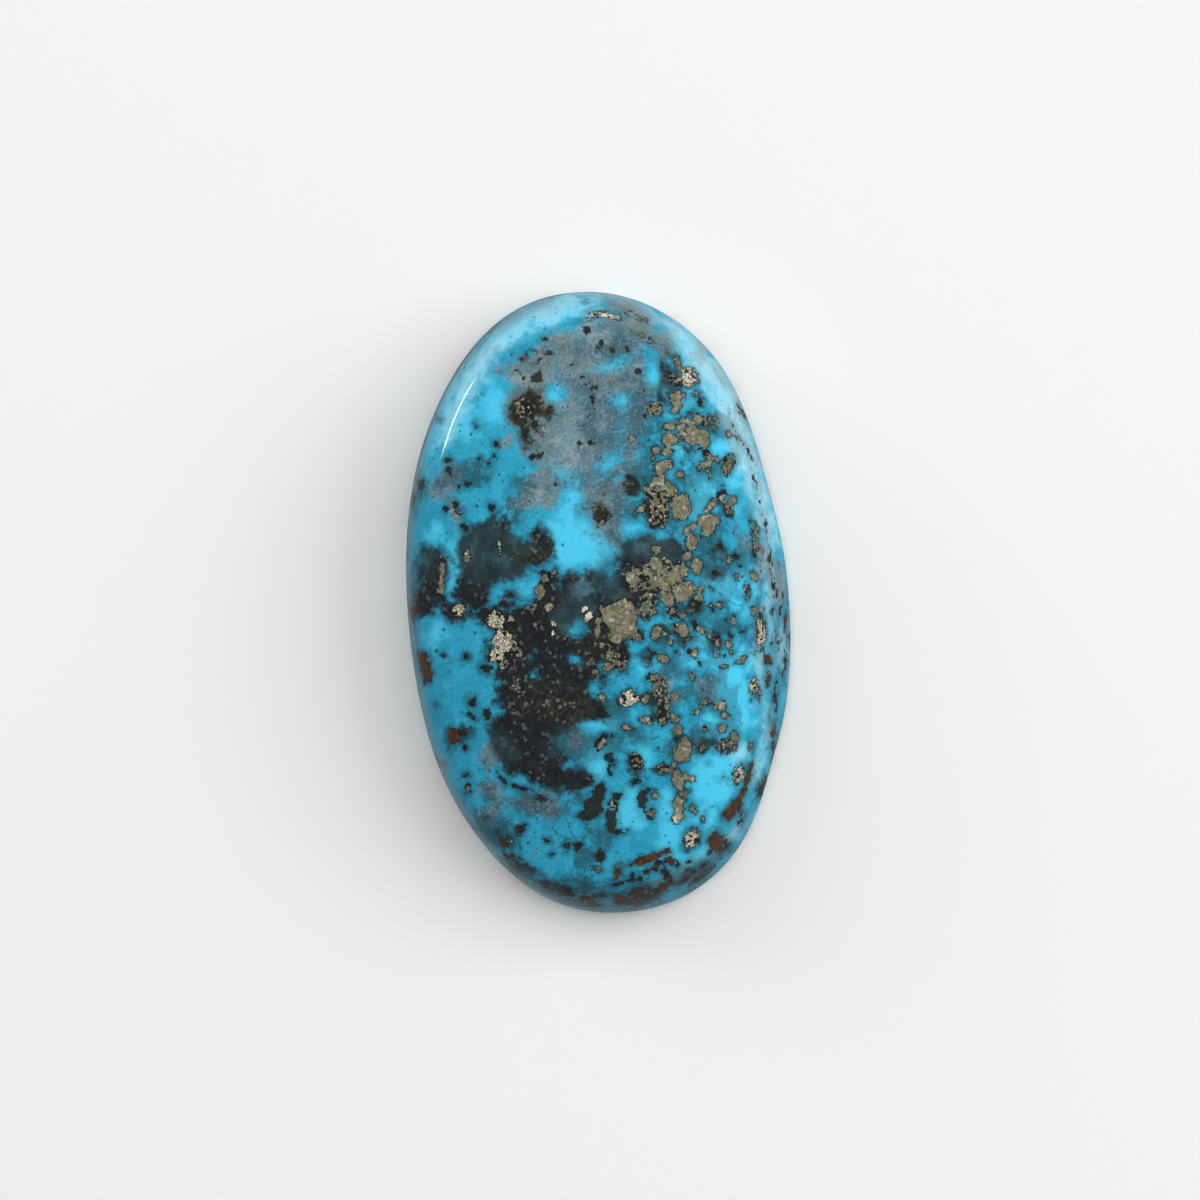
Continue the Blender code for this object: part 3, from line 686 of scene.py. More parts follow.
            (488, 793, 10, 6, 40), (648, 462, 12, 26), (600, 838, 16, 12), (520, 484, 10, 14),
            (616, 432, 12, 32), (594, 586, 12, 17), (567, 596, 8, 14), (607, 563, 9, 14), (630, 695, 10, 9),
            (612, 684, 14, 9), (580, 511, 9, 12), (630, 452, 9, 9), (612, 476, 11, 8), (675, 527, 8, 8),
            (738, 536, 8, 7), (685, 464, 8, 6), (626, 515, 10, 10), (682, 482, 22, 9), (596, 486, 26, 7),
            (617, 514, 8, 22, 10), (665, 360, 7, 12), (614, 350, 32, 13), (704, 548, 12, 10),
            (728, 560, 10, 10), (694, 612, 16, 6), (640, 386, 10, 8), (666, 673, 9, 7), (710, 679, 9, 8),
            (700, 700, 12, 9), (592, 430, 8, 30), (642, 735, 12, 8), (666, 743, 9, 9), (700, 738, 12, 7),
            (612, 585, 16, 12), (470, 474, 20, 9), (520, 868, 16, 6, 30), (556, 882, 26, 8, 20),
            (530, 806, 36, 10, 8), (580, 797, 18, 7), (604, 740, 18, 10), (585, 745, 14, 16),
            (616, 700, 13, 26), (565, 741, 12, 12), (690, 425, 20, 6), (712, 470, 12, 8), (520, 520, 14, 9),
            (456, 738, 13, 12), (605, 884, 30, 10), (690, 872, 26, 8, -30), (485, 667, 14, 6),
            (414, 590, 6, 30), (722, 631, 9, 6), (586, 855, 12, 12), (648, 354, 16, 9),
        ],
    },
    "grains": {
        "spots": [(705, 600, 70, 110), (700, 440, 50, 50), (700, 710, 50, 40)],
    },
    "specks": {
        "spots": [
            (570, 370, 66, 60, 30), (500, 470, 60, 50), (600, 430, 46, 66), (590, 840, 80, 50),
            (490, 540, 50, 40), (540, 340, 40, 20, -20), (500, 800, 40, 14, 20),
        ],
    },
    "hairlines": {
        "veins": [
            ([(434, 669), (445, 664), (456, 660), (468, 658)], 0.7),
            ([(566, 818), (571, 828), (573, 836)], 0.6), ([(552, 828), (559, 836), (566, 841)], 0.7),
            ([(478, 771), (483, 764), (488, 757)], 0.6), ([(618, 772), (626, 769), (634, 766)], 0.8),
            ([(646, 768), (656, 769), (666, 771)], 0.7),
            ([(705, 588), (718, 592), (732, 603), (742, 606)], 0.8),
            ([(640, 741), (652, 739), (664, 735)], 0.7), ([(690, 480), (693, 488), (688, 497)], 0.8),
            ([(668, 880), (684, 872), (700, 866)], 1),
        ],
    },
}

sight = {                        # where the camera's markings hold, and fade to the guessed ones
    "facing": (0.04, 0.17),      # cosine of the angle between surface and camera
    "height": (0.1 * mm, 0.9 * mm),
    "outside": -60.0,            # pixels, where no marking of a kind is near
}


def areaDepth(places, corners):
    # pixels inside the outline, negative outside it
    nearest = np.full(len(places), 1e9)
    inside = np.zeros(len(places), bool)
    for (x1, y1), (x2, y2) in zip(corners, corners[1:] + corners[:1]):
        side = np.array((x2 - x1, y2 - y1))
        away = places - (x1, y1)
        share = np.clip(away @ side / (side @ side), 0, 1)
        nearest = np.minimum(nearest, np.linalg.norm(away - share[:, None] * side, axis=1))
        level = (places[:, 1] < y1) != (places[:, 1] < y2)
        crossing = x1 + (places[:, 1] - y1) * (x2 - x1) / (y2 - y1 if y2 != y1 else 1)
        inside ^= level & (places[:, 0] < crossing)
    return np.where(inside, nearest, -nearest)


def spotDepth(places, spot):
    x, y, halfWidth, halfHeight, *degrees = spot
    lean = math.radians(degrees[0]) if degrees else 0
    away = places - (x, y)
    across = (away[:, 0] * math.cos(lean) + away[:, 1] * math.sin(lean)) / halfWidth
    along = (away[:, 1] * math.cos(lean) - away[:, 0] * math.sin(lean)) / halfHeight
    return (1 - np.hypot(across, along)) * min(halfWidth, halfHeight)


def veinDepth(places, points, halfThickness):
    nearest = np.full(len(places), 1e9)
    for start, end in zip(points, points[1:]):
        side = np.subtract(end, start)
        away = places - start
        share = np.clip(away @ side / (side @ side), 0, 1)
        nearest = np.minimum(nearest, np.linalg.norm(away - share[:, None] * side, axis=1))
    return halfThickness - nearest


def pointsOf(mesh):
    points = np.empty(len(mesh.vertices) * 3)
    mesh.vertices.foreach_get("co", points)
    return points.reshape(-1, 3)


def normalsOf(mesh):
    normals = np.empty(len(mesh.vertices) * 3)
    mesh.vertex_normals.foreach_get("vector", normals)
    return normals.reshape(-1, 3)


def picturePlaces(points):
    # where the camera sees each point, in pixels of the picture
    fromCamera = np.array(camera.matrix_world.inverted())
    seen = points @ fromCamera[:3, :3].T + fromCamera[:3, 3]
    zoom = camera.data.lens / camera.data.sensor_width * view["picture"]
    middle = view["picture"] / 2
    return middle + seen[:, :2] / seen[:, 2:] * (-zoom, zoom)


def storeNumbers(mesh, name, values):
    mesh.attributes.new(name, "FLOAT", "POINT").data.foreach_set("value", values.astype(np.float32))


def addMarkings(mesh):
    points = pointsOf(mesh)
    places = picturePlaces(points)
    for name, kind in markings.items():
        depth = np.full(len(points), sight["outside"])
        for corners in kind.get("areas", {}).values():
            depth = np.maximum(depth, areaDepth(places, corners))
        for spot in kind.get("spots", []):
            depth = np.maximum(depth, spotDepth(places, spot))
        for line, halfThickness in kind.get("veins", []):
            depth = np.maximum(depth, veinDepth(places, line, halfThickness))
        for spot in kind.get("islands", []):
            depth = np.minimum(depth, -spotDepth(places, spot))
        storeNumbers(mesh, name, depth / view["pixelsPerMm"])
    toCamera = np.array(camera.matrix_world.translation) - points
    toCamera /= np.linalg.norm(toCamera, axis=1)[:, None]
    facing = np.sum(normalsOf(mesh) * toCamera, axis=1)
    share = np.ones(len(points))
    for amounts, (low, high) in ((facing, sight["facing"]), (points[:, 2], sight["height"])):
        share = np.minimum(share, np.clip((amounts - low) / (high - low), 0, 1))
    storeNumbers(mesh, "seen", share * share * (3 - 2 * share))  # smooth at both ends


def unwrapStone(mesh):
    # dome and sides are one island, the sides rolled out round the lid, and the flat back is a second one
    onSide = 0.9999              # a point this far out on the starting cube, of 1, is on that side of it
    gap = 0.5 * mm               # between the islands and round them
    points = pointsOf(mesh)
    cube = np.empty(len(points) * 3)
    mesh.attributes["cubePlace"].data.foreach_get("vector", cube)
    cube = cube.reshape(-1, 3)
    mesh.attributes.remove(mesh.attributes["cubePlace"])
    flat = points[:, :2].copy()
    wall = np.flatnonzero(np.abs(cube[:, :2]).max(axis=1) > onSide)
    plan = np.round(cube[wall, :2], 5)
    wall = wall[np.lexsort((-cube[wall, 2], plan[:, 1], plan[:, 0]))]  # column by column, from the top down
    top = cube[wall, 2] > onSide
    column = np.cumsum(top) - 1
    steps = np.zeros(len(wall))
    steps[1:] = np.linalg.norm(np.diff(points[wall], axis=0), axis=1)
    run = np.cumsum(steps)
    down = run - run[top][column]
    outwards = points[wall[top], :2] - stone["crown"][:2]
    outwards /= np.linalg.norm(outwards, axis=1)[:, None]
    flat[wall] = points[wall[top], :2][column] + outwards[column] * down[:, None]

    corners = np.empty(len(mesh.loops), int)
    mesh.loops.foreach_get("vertex_index", corners)
    starts = np.empty(len(mesh.polygons), int)
    mesh.polygons.foreach_get("loop_start", starts)
    isBack = np.logical_and.reduceat(cube[corners, 2] < -onSide, starts)
    counts = np.diff(np.append(starts, len(corners)))
    isBack = np.repeat(isBack, counts)
    low = flat.min(axis=0)
    high = flat.max(axis=0)
    back = points[corners[isBack], :2]
    backLow = back.min(axis=0)
    backHigh = back.max(axis=0)
    places = flat[corners] - low + gap
    places[isBack] = (backHigh[0], 0) + back * (-1, 1) - (0, backLow[1])
    places[isBack] += (high[0] - low[0] + 2 * gap, gap)
    size = max(high[0] - low[0] + backHigh[0] - backLow[0] + 3 * gap, high[1] - low[1] + 2 * gap)
    mesh.uv_layers.new(name="OFBake").data.foreach_set("uv", (places / size).ravel())


print("stone: material")
# Turquoise, sawn, ground and polished: a bright opaque blue with a glassy shine. Grey quartz lies in it
# with soft edges, dark matrix with crisper ones, pyrite as flat brass-grey metal, and rust where pyrite
# weathered. Real grit and the finest pyrite dust are under 0.05 mm, and are drawn coarser so as to show.
# The paler shoulders, some brighter spots and the silvery pyrite hold painted sheen, highlight and glints.
clouds = {                       # noise: mm across, detail, and how far drawn out along the cap's streaks
    "cloud": (3.2, 3.0, 1.0),
    "patch": (0.9, 3.0, 1.0),
    "fleck": (1.1, 3.0, 1.0),
    "streak": (0.9, 4.0, 1.8),
    "grit": (0.16, 2.0, 1.0),
    "wide": (2.2, 1.0, 1.0),
    "middle": (0.75, 1.0, 1.0),
    "narrow": (0.28, 1.0, 1.0),
    "tiny": (0.12, 1.0, 1.0),
    "unseen dark": (3.6, 2.0, 1.0),
    "unseen grey": (6.0, 2.0, 1.0),
    "unseen metal": (1.7, 2.0, 1.0),
    "unseen rust": (2.6, 2.0, 1.0),
    "unseen bits": (1.1, 1.0, 1.0),
}
# The edge of each marking: mm of sway by the wide, middle, narrow and tiny noise and by the shards, mm of
# softness out and in, and for the sides that the picture doesn't show a noise, its level and mm of depth.
edges = {
    "quartz": ((0.5, 0.4, 0.3, 0.2), (0.4, 0.4), ("unseen grey", 0.62, 14)),
    "matrix": ((0.2, 0.26, 0.20, 0.10, 0.05), (0.14, 0.24), ("unseen dark", 0.63, 12)),
    "bits": ((0, 0.07, 0.09, 0.05, 0.07), (0.05, 0.04), ("unseen bits", 0.64, 6)),
    "pyrite": ((0, 0, 0.07, 0.05, 0.06), (0.03, 0.03), ("unseen metal", 0.74, 5)),
    "crumbs": ((0, 0.15, 0.15, 0.1), (0.05, 0.05), ("unseen metal", 0.70, 6)),
    "rust": ((0, 0.08, 0.09, 0.06, 0.06), (0.05, 0.05), ("unseen rust", 0.68, 8)),
    "silver": ((0, 0.3, 0, 0), (0.2, 0.2), ("unseen metal", 0.76, 8)),
    "bronze": ((0.5, 0.3, 0.3, 0), (0.4, 0.4), ("unseen grey", 0.50, 8)),
    "slate": ((0.8, 0.4, 0, 0), (0.6, 0.6), ("unseen grey", 0.56, 8)),
    "bright": ((0.4, 0.4, 0.2, 0.1), (0.45, 0.45), ("cloud", 0.54, 8)),
    "pale": ((0.4, 0.4, 0.2, 0.1), (0.5, 1.0), ("cloud", 0.66, 6)),
    "deep": ((0.5, 0.5, 0.3, 0.2), (0.5, 0.5), ("unseen dark", 0.56, 8)),
    "grains": ((0.8, 0, 0, 0), (1.2, 1.2), ("unseen metal", 0.62, 8)),
    "specks": ((0.8, 0, 0, 0), (1.2, 1.2), ("unseen grey", 0.55, 8)),
    "hairlines": ((0, 0, 0.08, 0.02), (0.05, 0.05), ("cloud", 2.0, 8)),
}
# Loose bits, one to a cell: mm across a cell, share of the cells, least and most mm of radius, where.
scattered = {
    "grain": (0.9, 0.22, 0.05, 0.14, "grains"),
    "speck": (0.62, 0.26, 0.03, 0.08, None),
    "dust": (0.30, 0.55, 0.02, 0.07, "specks"),
    "pit": (0.32, 0.5, 0.02, 0.06, None),
}
texture = {
    "streakTurn": math.radians(-50),
    "noiseSwing": 3.0,           # a noise keeps to about the middle third between 0 and 1
    "fray": (1.5, 1.05, 1.45),   # of the border to the guessed markings: noise, where it starts and ends
    "wobble": (0.2, 0.12),       # mm across and mm far, so that the cells below lose their straight sides
    "shard": 0.34,               # mm across the angular steps in the edges of the dark bits
    "web": (1.4, 0.12),          # mm across a mesh of the dark web, mm of its half thickness
    "webDrift": (1.1, 0.9, 0.5),  # mm that the web sways
    "webFaint": 1.2,             # mm by which it thins out in places
    "crumb": (0.18, 0.38, 0.013),  # mm across a crumb, share left dark, mm of dark gap between crumbs
    "silverKept": 0.2,           # share of the dark crumbs that the painted glints keep bright
    "plate": (0.60, 0.010),      # mm across a plate of massive pyrite, mm of crack between plates
    "unbroken": 0.44,            # level of the narrow noise over which the plates have no cracks
}
# Masks that rise from 0 to 1 between two levels of a noise, or two depths in mm.
rises = {
    "cloudLow": ("cloud", 0.34, 0.52),
    "cloudHigh": ("patch", 0.48, 0.72),
    "gritDark": ("grit", 0.50, 0.72),
    "gritLight": ("grit", 0.50, 0.28),
    "shade": ("dark bits", -0.42, 0.05),
    "speckShade": ("speck", -0.13, 0.02),
    "speckCore": ("speck", -0.01, 0.02),
    "dustCore": ("dust", -0.01, 0.02),
    "streakLow": ("streak", 0.34, 0.50),
    "streakHigh": ("streak", 0.50, 0.68),
    "blueFleck": ("fleck", 0.54, 0.66),
    "patchLow": ("patch", 0.32, 0.50),
    "patchHigh": ("patch", 0.50, 0.72),
    "someCrumbs": ("crumb green", 0.55, 0.95),
    "glint": ("crumb green", 0.90, 0.95),
    "nearMatrix": ("matrix depth", -0.75, 0.25),
    "oliveCrumbs": ("crumb blue", 0.35, 0.75),
    "crumbTone": ("crumb blue", 0.20, 0.90),
    "rustBody": ("rust depth", -0.02, 0.14),
    "rim": ("metal and halo", -0.13, -0.01),
    "metal": ("metal depth", -0.015, 0.02),
    "back": ("height", 0.25, 0.05),
    "web": ("web depth", -0.16, 0.10),
}
# Each finish starts from a colour and takes coats: mask, strength, and a colour or a finish made before it.
finishes = {
    "quartz": ("#46606a", [
        ("streakLow", 1.0, "#5f777d"), ("streakHigh", 1.0, "#7b8c90"), ("bronze", 0.45, "#626358"),
        ("blueFleck", 0.5, "#42808f"), ("bright", 0.7, "#3fb2d3"), ("deep", 0.75, "#284c5a"),
        ("gritDark", 0.5, "#37494f"), ("gritLight", 0.3, "#95a6a9"),
    ]),
    "slate": ("#16282e", [
        ("patchLow", 1.0, "#1e363d"), ("patchHigh", 1.0, "#33555c"), ("gritLight", 0.2, "#4a6466"),
    ]),
    "olive": ("#12120f", [("oliveCrumbs", 0.85, "#323123"), ("glint", 0.6, "#77735a")]),
    "matrix": ("#0b0b0e", [
        ("patchLow", 1.0, "#0e0e10"), ("patchHigh", 1.0, "#201f21"), ("someCrumbs", 0.5, "#2c2a2b"),
        ("gritDark", 0.7, "#09090b"), ("gritLight", 0.15, "#4a4a48"), ("glint", 0.45, "#6d6a62"),
        ("slate", 0.9, "slate"), ("bronze", 0.8, "olive"),
    ]),
    "bits": ("#0a0e10", [
        ("patchHigh", 0.8, "#1a1d1d"), ("someCrumbs", 0.4, "#302c26"), ("bronze", 0.6, "#25251c"),
    ]),
    "rust": ("#15100d", [
        ("rustBody", 1.0, "#3f2616"), ("someCrumbs", 0.6, "#66421f"), ("gritDark", 0.75, "#1d140e"),
    ]),
    "pyrite": ("#8f8d74", [
        # the near-white coats on single crumbs and in the silvery clusters are painted glints
        ("crumbTone", 1.0, "#b7b396"), ("glint", 0.7, "#ece6cc"), ("silver", 0.75, "#ece1c6"),
        ("gritDark", 0.4, "#7d795d"),
    ]),
    "turquoise": ("#1c88a8", [
        # the bright coats add brighter blue, with painted highlight in a few spots; the pale coats add
        # paler blue with painted sheen on the shoulders
        ("cloudLow", 1.0, "#2496b6"), ("cloudHigh", 0.7, "#31a4c3"), ("bright", 0.8, "#49c2e4"),
        ("pale", 0.7, "#86dcf3"), ("deep", 0.8, "#18444c"), ("web", 0.65, "#184650"),
        ("gritDark", 0.22, "#1a637b"), ("gritLight", 0.15, "#63cbe6"), ("shade", 0.78, "#154a54"),
        ("speckShade", 0.6, "#1a525c"), ("bright", 0.3, "#49c2e4"), ("quartz", 0.94, "quartz"),
        # a second coat of painted sheen, over the quartz
        ("pale", 0.3, "#c6e6ee"), ("slateEdge", 0.85, "slate"),
        ("matrix", 0.97, "matrix"), ("speckCore", 0.9, "#101214"), ("dustCore", 0.85, "#181d20"),
        ("hairlines", 0.7, "#17505f"), ("bits", 0.95, "bits"), ("rust", 1.0, "rust"),
        ("rim", 0.9, "#0b0c0e"), ("metal", 1.0, "pyrite"),
    ]),
}
shine = {                        # roughness of the polish, and of what takes it less well
    "polish": 0.07,
    "duller": {"matrix": 0.14, "bits": 0.14, "rust": 0.32, "metal": 0.28, "back": 0.45},
    "ior": 1.61,                 # turquoise
    "metallic": (0.72, 0.25),    # pyrite is a metallic mineral, not quite a metal; and where its glints are painted into the colour
    "waveAcross": 2.2,           # mm
    "waveTurn": 0.05,            # slope by which the polish waves
    "crumbTurn": 0.35,           # slope by which each crumb of metal faces its own way
}


def stoneMaterial():
    material = bpy.data.materials.new("polishedTurquoise")
    material.use_nodes = True
    tree = material.node_tree
    shader = tree.nodes["Principled BSDF"]
    calc = "ShaderNodeMath"
    vec = "ShaderNodeVectorMath"
    noise = "ShaderNodeTexNoise"
    cells = "ShaderNodeTexVoronoi"
    blend = "ShaderNodeMix"
    mapRange = "ShaderNodeMapRange"
    stored = "ShaderNodeAttribute"
    separate = "ShaderNodeSeparateColor"
    smooth = {"interpolation_type": "SMOOTHSTEP"}
    toEdge = {"feature": "DISTANCE_TO_EDGE"}
    objectPlace = addNode(tree, "ShaderNodeTexCoord").outputs["Object"]
    spot = addNode(tree, vec, {"operation": "SCALE"}, {0: objectPlace, "Scale": 1 / mm}).outputs[0]
    values = {"height": addNode(tree, "ShaderNodeSeparateXYZ", None, {0: spot}).outputs[2]}
    for name, (across, detail, drawn) in clouds.items():
        place = spot
        if drawn != 1:
            turn = (0, 0, texture["streakTurn"])
            place = addNode(tree, "ShaderNodeMapping", None, {
                "Vector": spot, "Rotation": turn, "Scale": (1 / drawn, 1, 1)}).outputs[0]
        values[name] = addNode(tree, noise, None, {
            "Vector": place, "Scale": 1 / across, "Detail": detail}).outputs[0]

    across, far = texture["wobble"]
    wobble = addNode(tree, noise, None, {"Vector": spot, "Scale": 1 / across, "Detail": 1.0}).outputs[1]
    shaken = addNode(tree, vec, {"operation": "MULTIPLY_ADD"}, {
        0: wobble, 1: (far, far, far), 2: spot}).outputs[0]
    shard = addNode(tree, cells, None, {"Vector": shaken, "Scale": 1 / texture["shard"]}).outputs["Color"]
    values["shard"] = addNode(tree, separate, None, {0: shard}).outputs[0]

    # mm inside each marking, negative outside it
    masks = {}
    amount, low, high = texture["fray"]
    seen = addNode(tree, stored, {"attribute_name": "seen"}).outputs["Fac"]
    seen = addNode(tree, calc, {"operation": "MULTIPLY_ADD"}, {
        0: values["wide"], 1: amount, 2: seen}).outputs[0]
    seen = addNode(tree, mapRange, smooth, {"Value": seen, "From Min": low, "From Max": high}).outputs[0]
    for name, (sways, soft, (cloud, level, deep)) in edges.items():
        planned = addNode(tree, stored, {"attribute_name": name}).outputs["Fac"]
        above = addNode(tree, calc, {"operation": "SUBTRACT"}, {0: values[cloud], 1: level}).outputs[0]
        unseen = addNode(tree, calc, {"operation": "MULTIPLY"}, {0: above, 1: float(deep)}).outputs[0]
        depth = addNode(tree, blend, None, {0: seen, 2: unseen, 3: planned}).outputs[0]
        for size, amount in zip(("wide", "middle", "narrow", "tiny", "shard"), sways):
            if amount:
                centred = addNode(tree, calc, {"operation": "SUBTRACT"}, {
                    0: values[size], 1: 0.5}).outputs[0]
                depth = addNode(tree, calc, {"operation": "MULTIPLY_ADD"}, {
                    0: centred, 1: amount * texture["noiseSwing"], 2: depth}).outputs[0]
        values[name + " depth"] = depth
        masks[name] = addNode(tree, mapRange, smooth, {
            "Value": depth, "From Min": -soft[0], "From Max": soft[1]}).outputs[0]

    # loose grains and specks: a ball in some of the cells, cut by the surface
    for name, (across, share, least, most, where) in scattered.items():
        near = addNode(tree, cells, None, {"Vector": spot, "Scale": 1 / across})
        chance = addNode(tree, separate, None, {0: near.outputs["Color"]}).outputs
        limit = share
        if where:
            limit = addNode(tree, calc, {"operation": "MULTIPLY"}, {0: masks[where], 1: share}).outputs[0]
        filled = addNode(tree, calc, {"operation": "LESS_THAN"}, {0: chance[0], 1: limit}).outputs[0]
        radius = addNode(tree, mapRange, None, {
            "Value": chance[1], "To Min": least, "To Max": most}).outputs[0]
        ball = addNode(tree, calc, {"operation": "MULTIPLY_ADD"}, {
            0: near.outputs["Distance"], 1: -across, 2: radius}).outputs[0]
        empty = addNode(tree, calc, {"operation": "SUBTRACT"}, {0: filled, 1: 1.0}).outputs[0]
        values[name] = addNode(tree, calc, {"operation": "MULTIPLY_ADD"}, {
            0: empty, 1: 10.0, 2: ball}).outputs[0]

    # pyrite crumbs with dark gaps, some of them left out, then plates with fine cracks
    across, dark, gap = texture["crumb"]
    crumb = addNode(tree, cells, None, {"Vector": shaken, "Scale": 1 / across})
    chance = addNode(tree, separate, None, {0: crumb.outputs["Color"]}).outputs
    values["crumb green"] = chance[1]
    values["crumb blue"] = chance[2]
    edge = addNode(tree, cells, toEdge, {"Vector": shaken, "Scale": 1 / across}).outputs[0]
    room = addNode(tree, calc, {"operation": "MULTIPLY_ADD"}, {0: edge, 1: across, 2: -gap}).outputs[0]
    kept = addNode(tree, calc, {"operation": "SUBTRACT"}, {0: chance[0], 1: dark}).outputs[0]
    kept = addNode(tree, calc, {"operation": "MULTIPLY_ADD"}, {
        0: masks["silver"], 1: texture["silverKept"], 2: kept}).outputs[0]
    room = addNode(tree, calc, {"operation": "MINIMUM"}, {0: room, 1: kept}).outputs[0]
    values["crumb"] = addNode(tree, calc, {"operation": "MINIMUM"}, {
        0: room, 1: values["crumbs depth"]}).outputs[0]

    across, crack = texture["plate"]
    edge = addNode(tree, cells, toEdge, {"Vector": shaken, "Scale": 1 / across}).outputs[0]
    room = addNode(tree, calc, {"operation": "MULTIPLY_ADD"}, {0: edge, 1: across, 2: -crack}).outputs[0]
    broken = addNode(tree, calc, {"operation": "SUBTRACT"}, {
        0: values["narrow"], 1: texture["unbroken"]}).outputs[0]
    room = addNode(tree, calc, {"operation": "MAXIMUM"}, {0: room, 1: broken}).outputs[0]
    solid = addNode(tree, calc, {"operation": "MULTIPLY"}, {0: values["pit"], 1: -1.0}).outputs[0]
    room = addNode(tree, calc, {"operation": "MINIMUM"}, {0: room, 1: solid}).outputs[0]
    values["plate"] = addNode(tree, calc, {"operation": "MINIMUM"}, {
        0: room, 1: values["pyrite depth"]}).outputs[0]

    # a dark web in the blue where the grains are thick
    across, half = texture["web"]
    drift = addNode(tree, vec, {"operation": "MULTIPLY_ADD"}, {
        0: values["middle"], 1: texture["webDrift"], 2: shaken}).outputs[0]
    edge = addNode(tree, cells, toEdge, {"Vector": drift, "Scale": 1 / across}).outputs[0]
    web = addNode(tree, calc, {"operation": "MULTIPLY_ADD"}, {0: edge, 1: -across, 2: half}).outputs[0]
    lacking = addNode(tree, calc, {"operation": "SUBTRACT"}, {0: masks["grains"], 1: 1.0}).outputs[0]
    web = addNode(tree, calc, {"operation": "ADD"}, {0: web, 1: lacking}).outputs[0]
    faint = addNode(tree, calc, {"operation": "SUBTRACT"}, {0: values["wide"], 1: 0.5}).outputs[0]
    values["web depth"] = addNode(tree, calc, {"operation": "MULTIPLY_ADD"}, {
        0: faint, 1: texture["webFaint"], 2: web}).outputs[0]

    # what several of them make together
    for name, parts in {
        "metal depth": ("plate", "crumb", "grain"),
        "metal and halo": ("pyrite depth", "crumbs depth", "grain"),
        "dark bits": ("matrix depth", "bits depth", "rust depth", "pyrite depth", "crumbs depth", "grain"),
    }.items():
        deepest = values[parts[0]]
        for part in parts[1:]:
            deepest = addNode(tree, calc, {"operation": "MAXIMUM"}, {
                0: deepest, 1: values[part]}).outputs[0]
        values[name] = deepest

    for name, (source, low, high) in rises.items():
        masks[name] = addNode(tree, mapRange, smooth, {
            "Value": values[source], "From Min": low, "From Max": high}).outputs[0]
    masks["slateEdge"] = addNode(tree, calc, {"operation": "MULTIPLY"}, {
        0: masks["nearMatrix"], 1: masks["slate"]}).outputs[0]

    made = {}
    for name, (first, coats) in finishes.items():
        colour = linearColour(first)
        for mask, strength, top in coats:
            share = addNode(tree, calc, {"operation": "MULTIPLY"}, {0: masks[mask], 1: strength}).outputs[0]
            paint = made[top] if top in made else linearColour(top)
            colour = addNode(tree, blend, {"data_type": "RGBA"}, {0: share, 6: colour, 7: paint}).outputs[2]
        made[name] = colour
    tree.links.new(made["turquoise"], shader.inputs["Base Color"])
    # less metallic where the glints are painted, so that their pale colour shows
    solid, glittering = shine["metallic"]
    share = addNode(tree, blend, None, {0: masks["silver"], 2: solid, 3: glittering}).outputs[0]
    metallic = addNode(tree, calc, {"operation": "MULTIPLY"}, {0: masks["metal"], 1: share}).outputs[0]
    tree.links.new(metallic, shader.inputs["Metallic"])
    shader.inputs["IOR"].default_value = shine["ior"]
    rough = shine["polish"]
    for mask, value in shine["duller"].items():
        rough = addNode(tree, blend, None, {0: masks[mask], 2: rough, 3: value}).outputs[0]
    tree.links.new(rough, shader.inputs["Roughness"])

    # each crumb of metal faces its own way, and the polish waves a little
    wave = addNode(tree, noise, None, {
        "Vector": spot, "Scale": 1 / shine["waveAcross"], "Detail": 1.0}).outputs[1]
    normal = addNode(tree, "ShaderNodeNewGeometry").outputs["Normal"]
    crumbTurn = addNode(tree, calc, {"operation": "MULTIPLY"}, {
        0: masks["metal"], 1: shine["crumbTurn"]}).outputs[0]
    for turned, amount in ((wave, shine["waveTurn"]), (crumb.outputs["Color"], crumbTurn)):
        aside = addNode(tree, vec, {"operation": "SUBTRACT"}, {0: turned, 1: (0.5, 0.5, 0.5)}).outputs[0]
        aside = addNode(tree, vec, {"operation": "SCALE"}, {0: aside, "Scale": amount}).outputs[0]
        normal = addNode(tree, vec, {"operation": "ADD"}, {0: normal, 1: aside}).outputs[0]
    normal = addNode(tree, vec, {"operation": "NORMALIZE"}, {0: normal}).outputs[0]
    tree.links.new(normal, shader.inputs["Normal"])
    return material


piece = stonePiece(stoneMaterial())
addMarkings(piece.data)
unwrapStone(piece.data)
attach(piece, "root")
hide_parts("turquoise_cabochon")

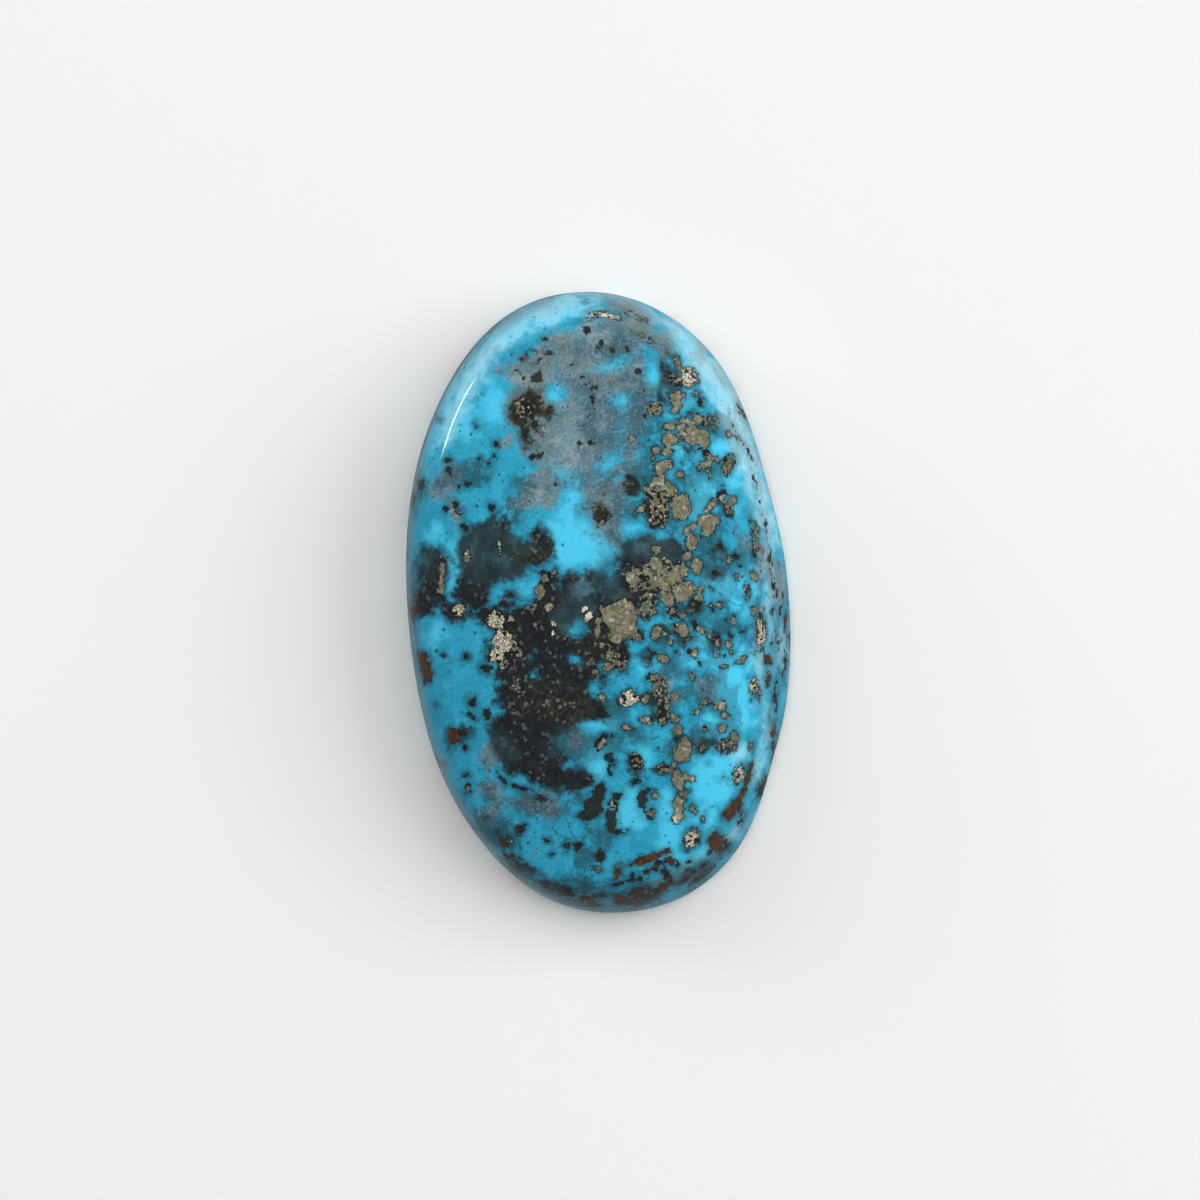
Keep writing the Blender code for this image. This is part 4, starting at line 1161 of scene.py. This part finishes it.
print("floor and lights")
studio = {
    "floor": "#e2e2e0",
    "floorRoughness": 0.9,
    "floorHalf": 3,              # metres
    "floorLift": 0.01 * mm,      # clear of the stone's back, which is seen from below too
    "aim": (0, 0, 6 * mm),
    "world": 0.19,
    # each light: size, place, the way its long side points, power, and whether the polish reflects it
    "lights": {
        "overhead": ((0.9, 0.9), (0.14, 0.32, 0.86), (0, 1, 0), 5.7, False),
        "windowGlow": ((0.5, 0.7), (0.62, 0.12, 0.40), (0, 1, 0), 4.6, False),
        "leftGlow": ((0.5, 0.7), (-0.50, 0.48, 0.42), (0.6, 0.8, 0), 1.9, False),
        "leftStrip": ((0.028, 0.137), (-0.323, 0.196, 0.111), (0.034, 0.104, -0.083), 0.14, True),
        "underGlow": ((0.5, 0.5), (0.1, -0.1, -0.6), (0, 1, 0), 4.0, False),  # shows the back from below
    },
}


def layFloor():
    mesh = bpy.data.meshes.new("floor")
    bm = bmesh.new()
    bmesh.ops.create_grid(bm, x_segments=1, y_segments=1, size=studio["floorHalf"])
    bmesh.ops.translate(bm, vec=(0, 0, studio["floorLift"]), verts=bm.verts)
    bm.to_mesh(mesh)
    bm.free()
    floor = bpy.data.objects.new("floor", mesh)
    bpy.context.scene.collection.objects.link(floor)
    paint = bpy.data.materials.new("paleFloor")
    paint.use_nodes = True
    shader = paint.node_tree.nodes["Principled BSDF"]
    shader.inputs["Base Color"].default_value = linearColour(studio["floor"])
    shader.inputs["Roughness"].default_value = studio["floorRoughness"]
    mesh.materials.append(paint)
    floor.visible_glossy = False
    return floor


def placeLight(name):
    size, place, along, power, reflected = studio["lights"][name]
    light = bpy.data.objects.new(name, bpy.data.lights.new(name, "AREA"))
    bpy.context.scene.collection.objects.link(light)
    light.data.shape = "RECTANGLE"
    light.data.size = size[0]
    light.data.size_y = size[1]
    light.data.energy = power
    away = (Vector(place) - Vector(studio["aim"])).normalized()
    side = Vector(along).cross(away).normalized()
    turn = Matrix((side, away.cross(side), away)).transposed()
    light.matrix_world = Matrix.Translation(place) @ turn.to_4x4()
    light.visible_glossy = reflected
    return light


layFloor()
for name in studio["lights"]:
    placeLight(name)
world = bpy.data.worlds.new("softStudio")
bpy.context.scene.world = world
world.use_nodes = True
background = world.node_tree.nodes["Background"]
background.inputs["Color"].default_value = (1, 1, 1, 1)
background.inputs["Strength"].default_value = studio["world"]
bpy.context.scene.view_settings.view_transform = "Standard"
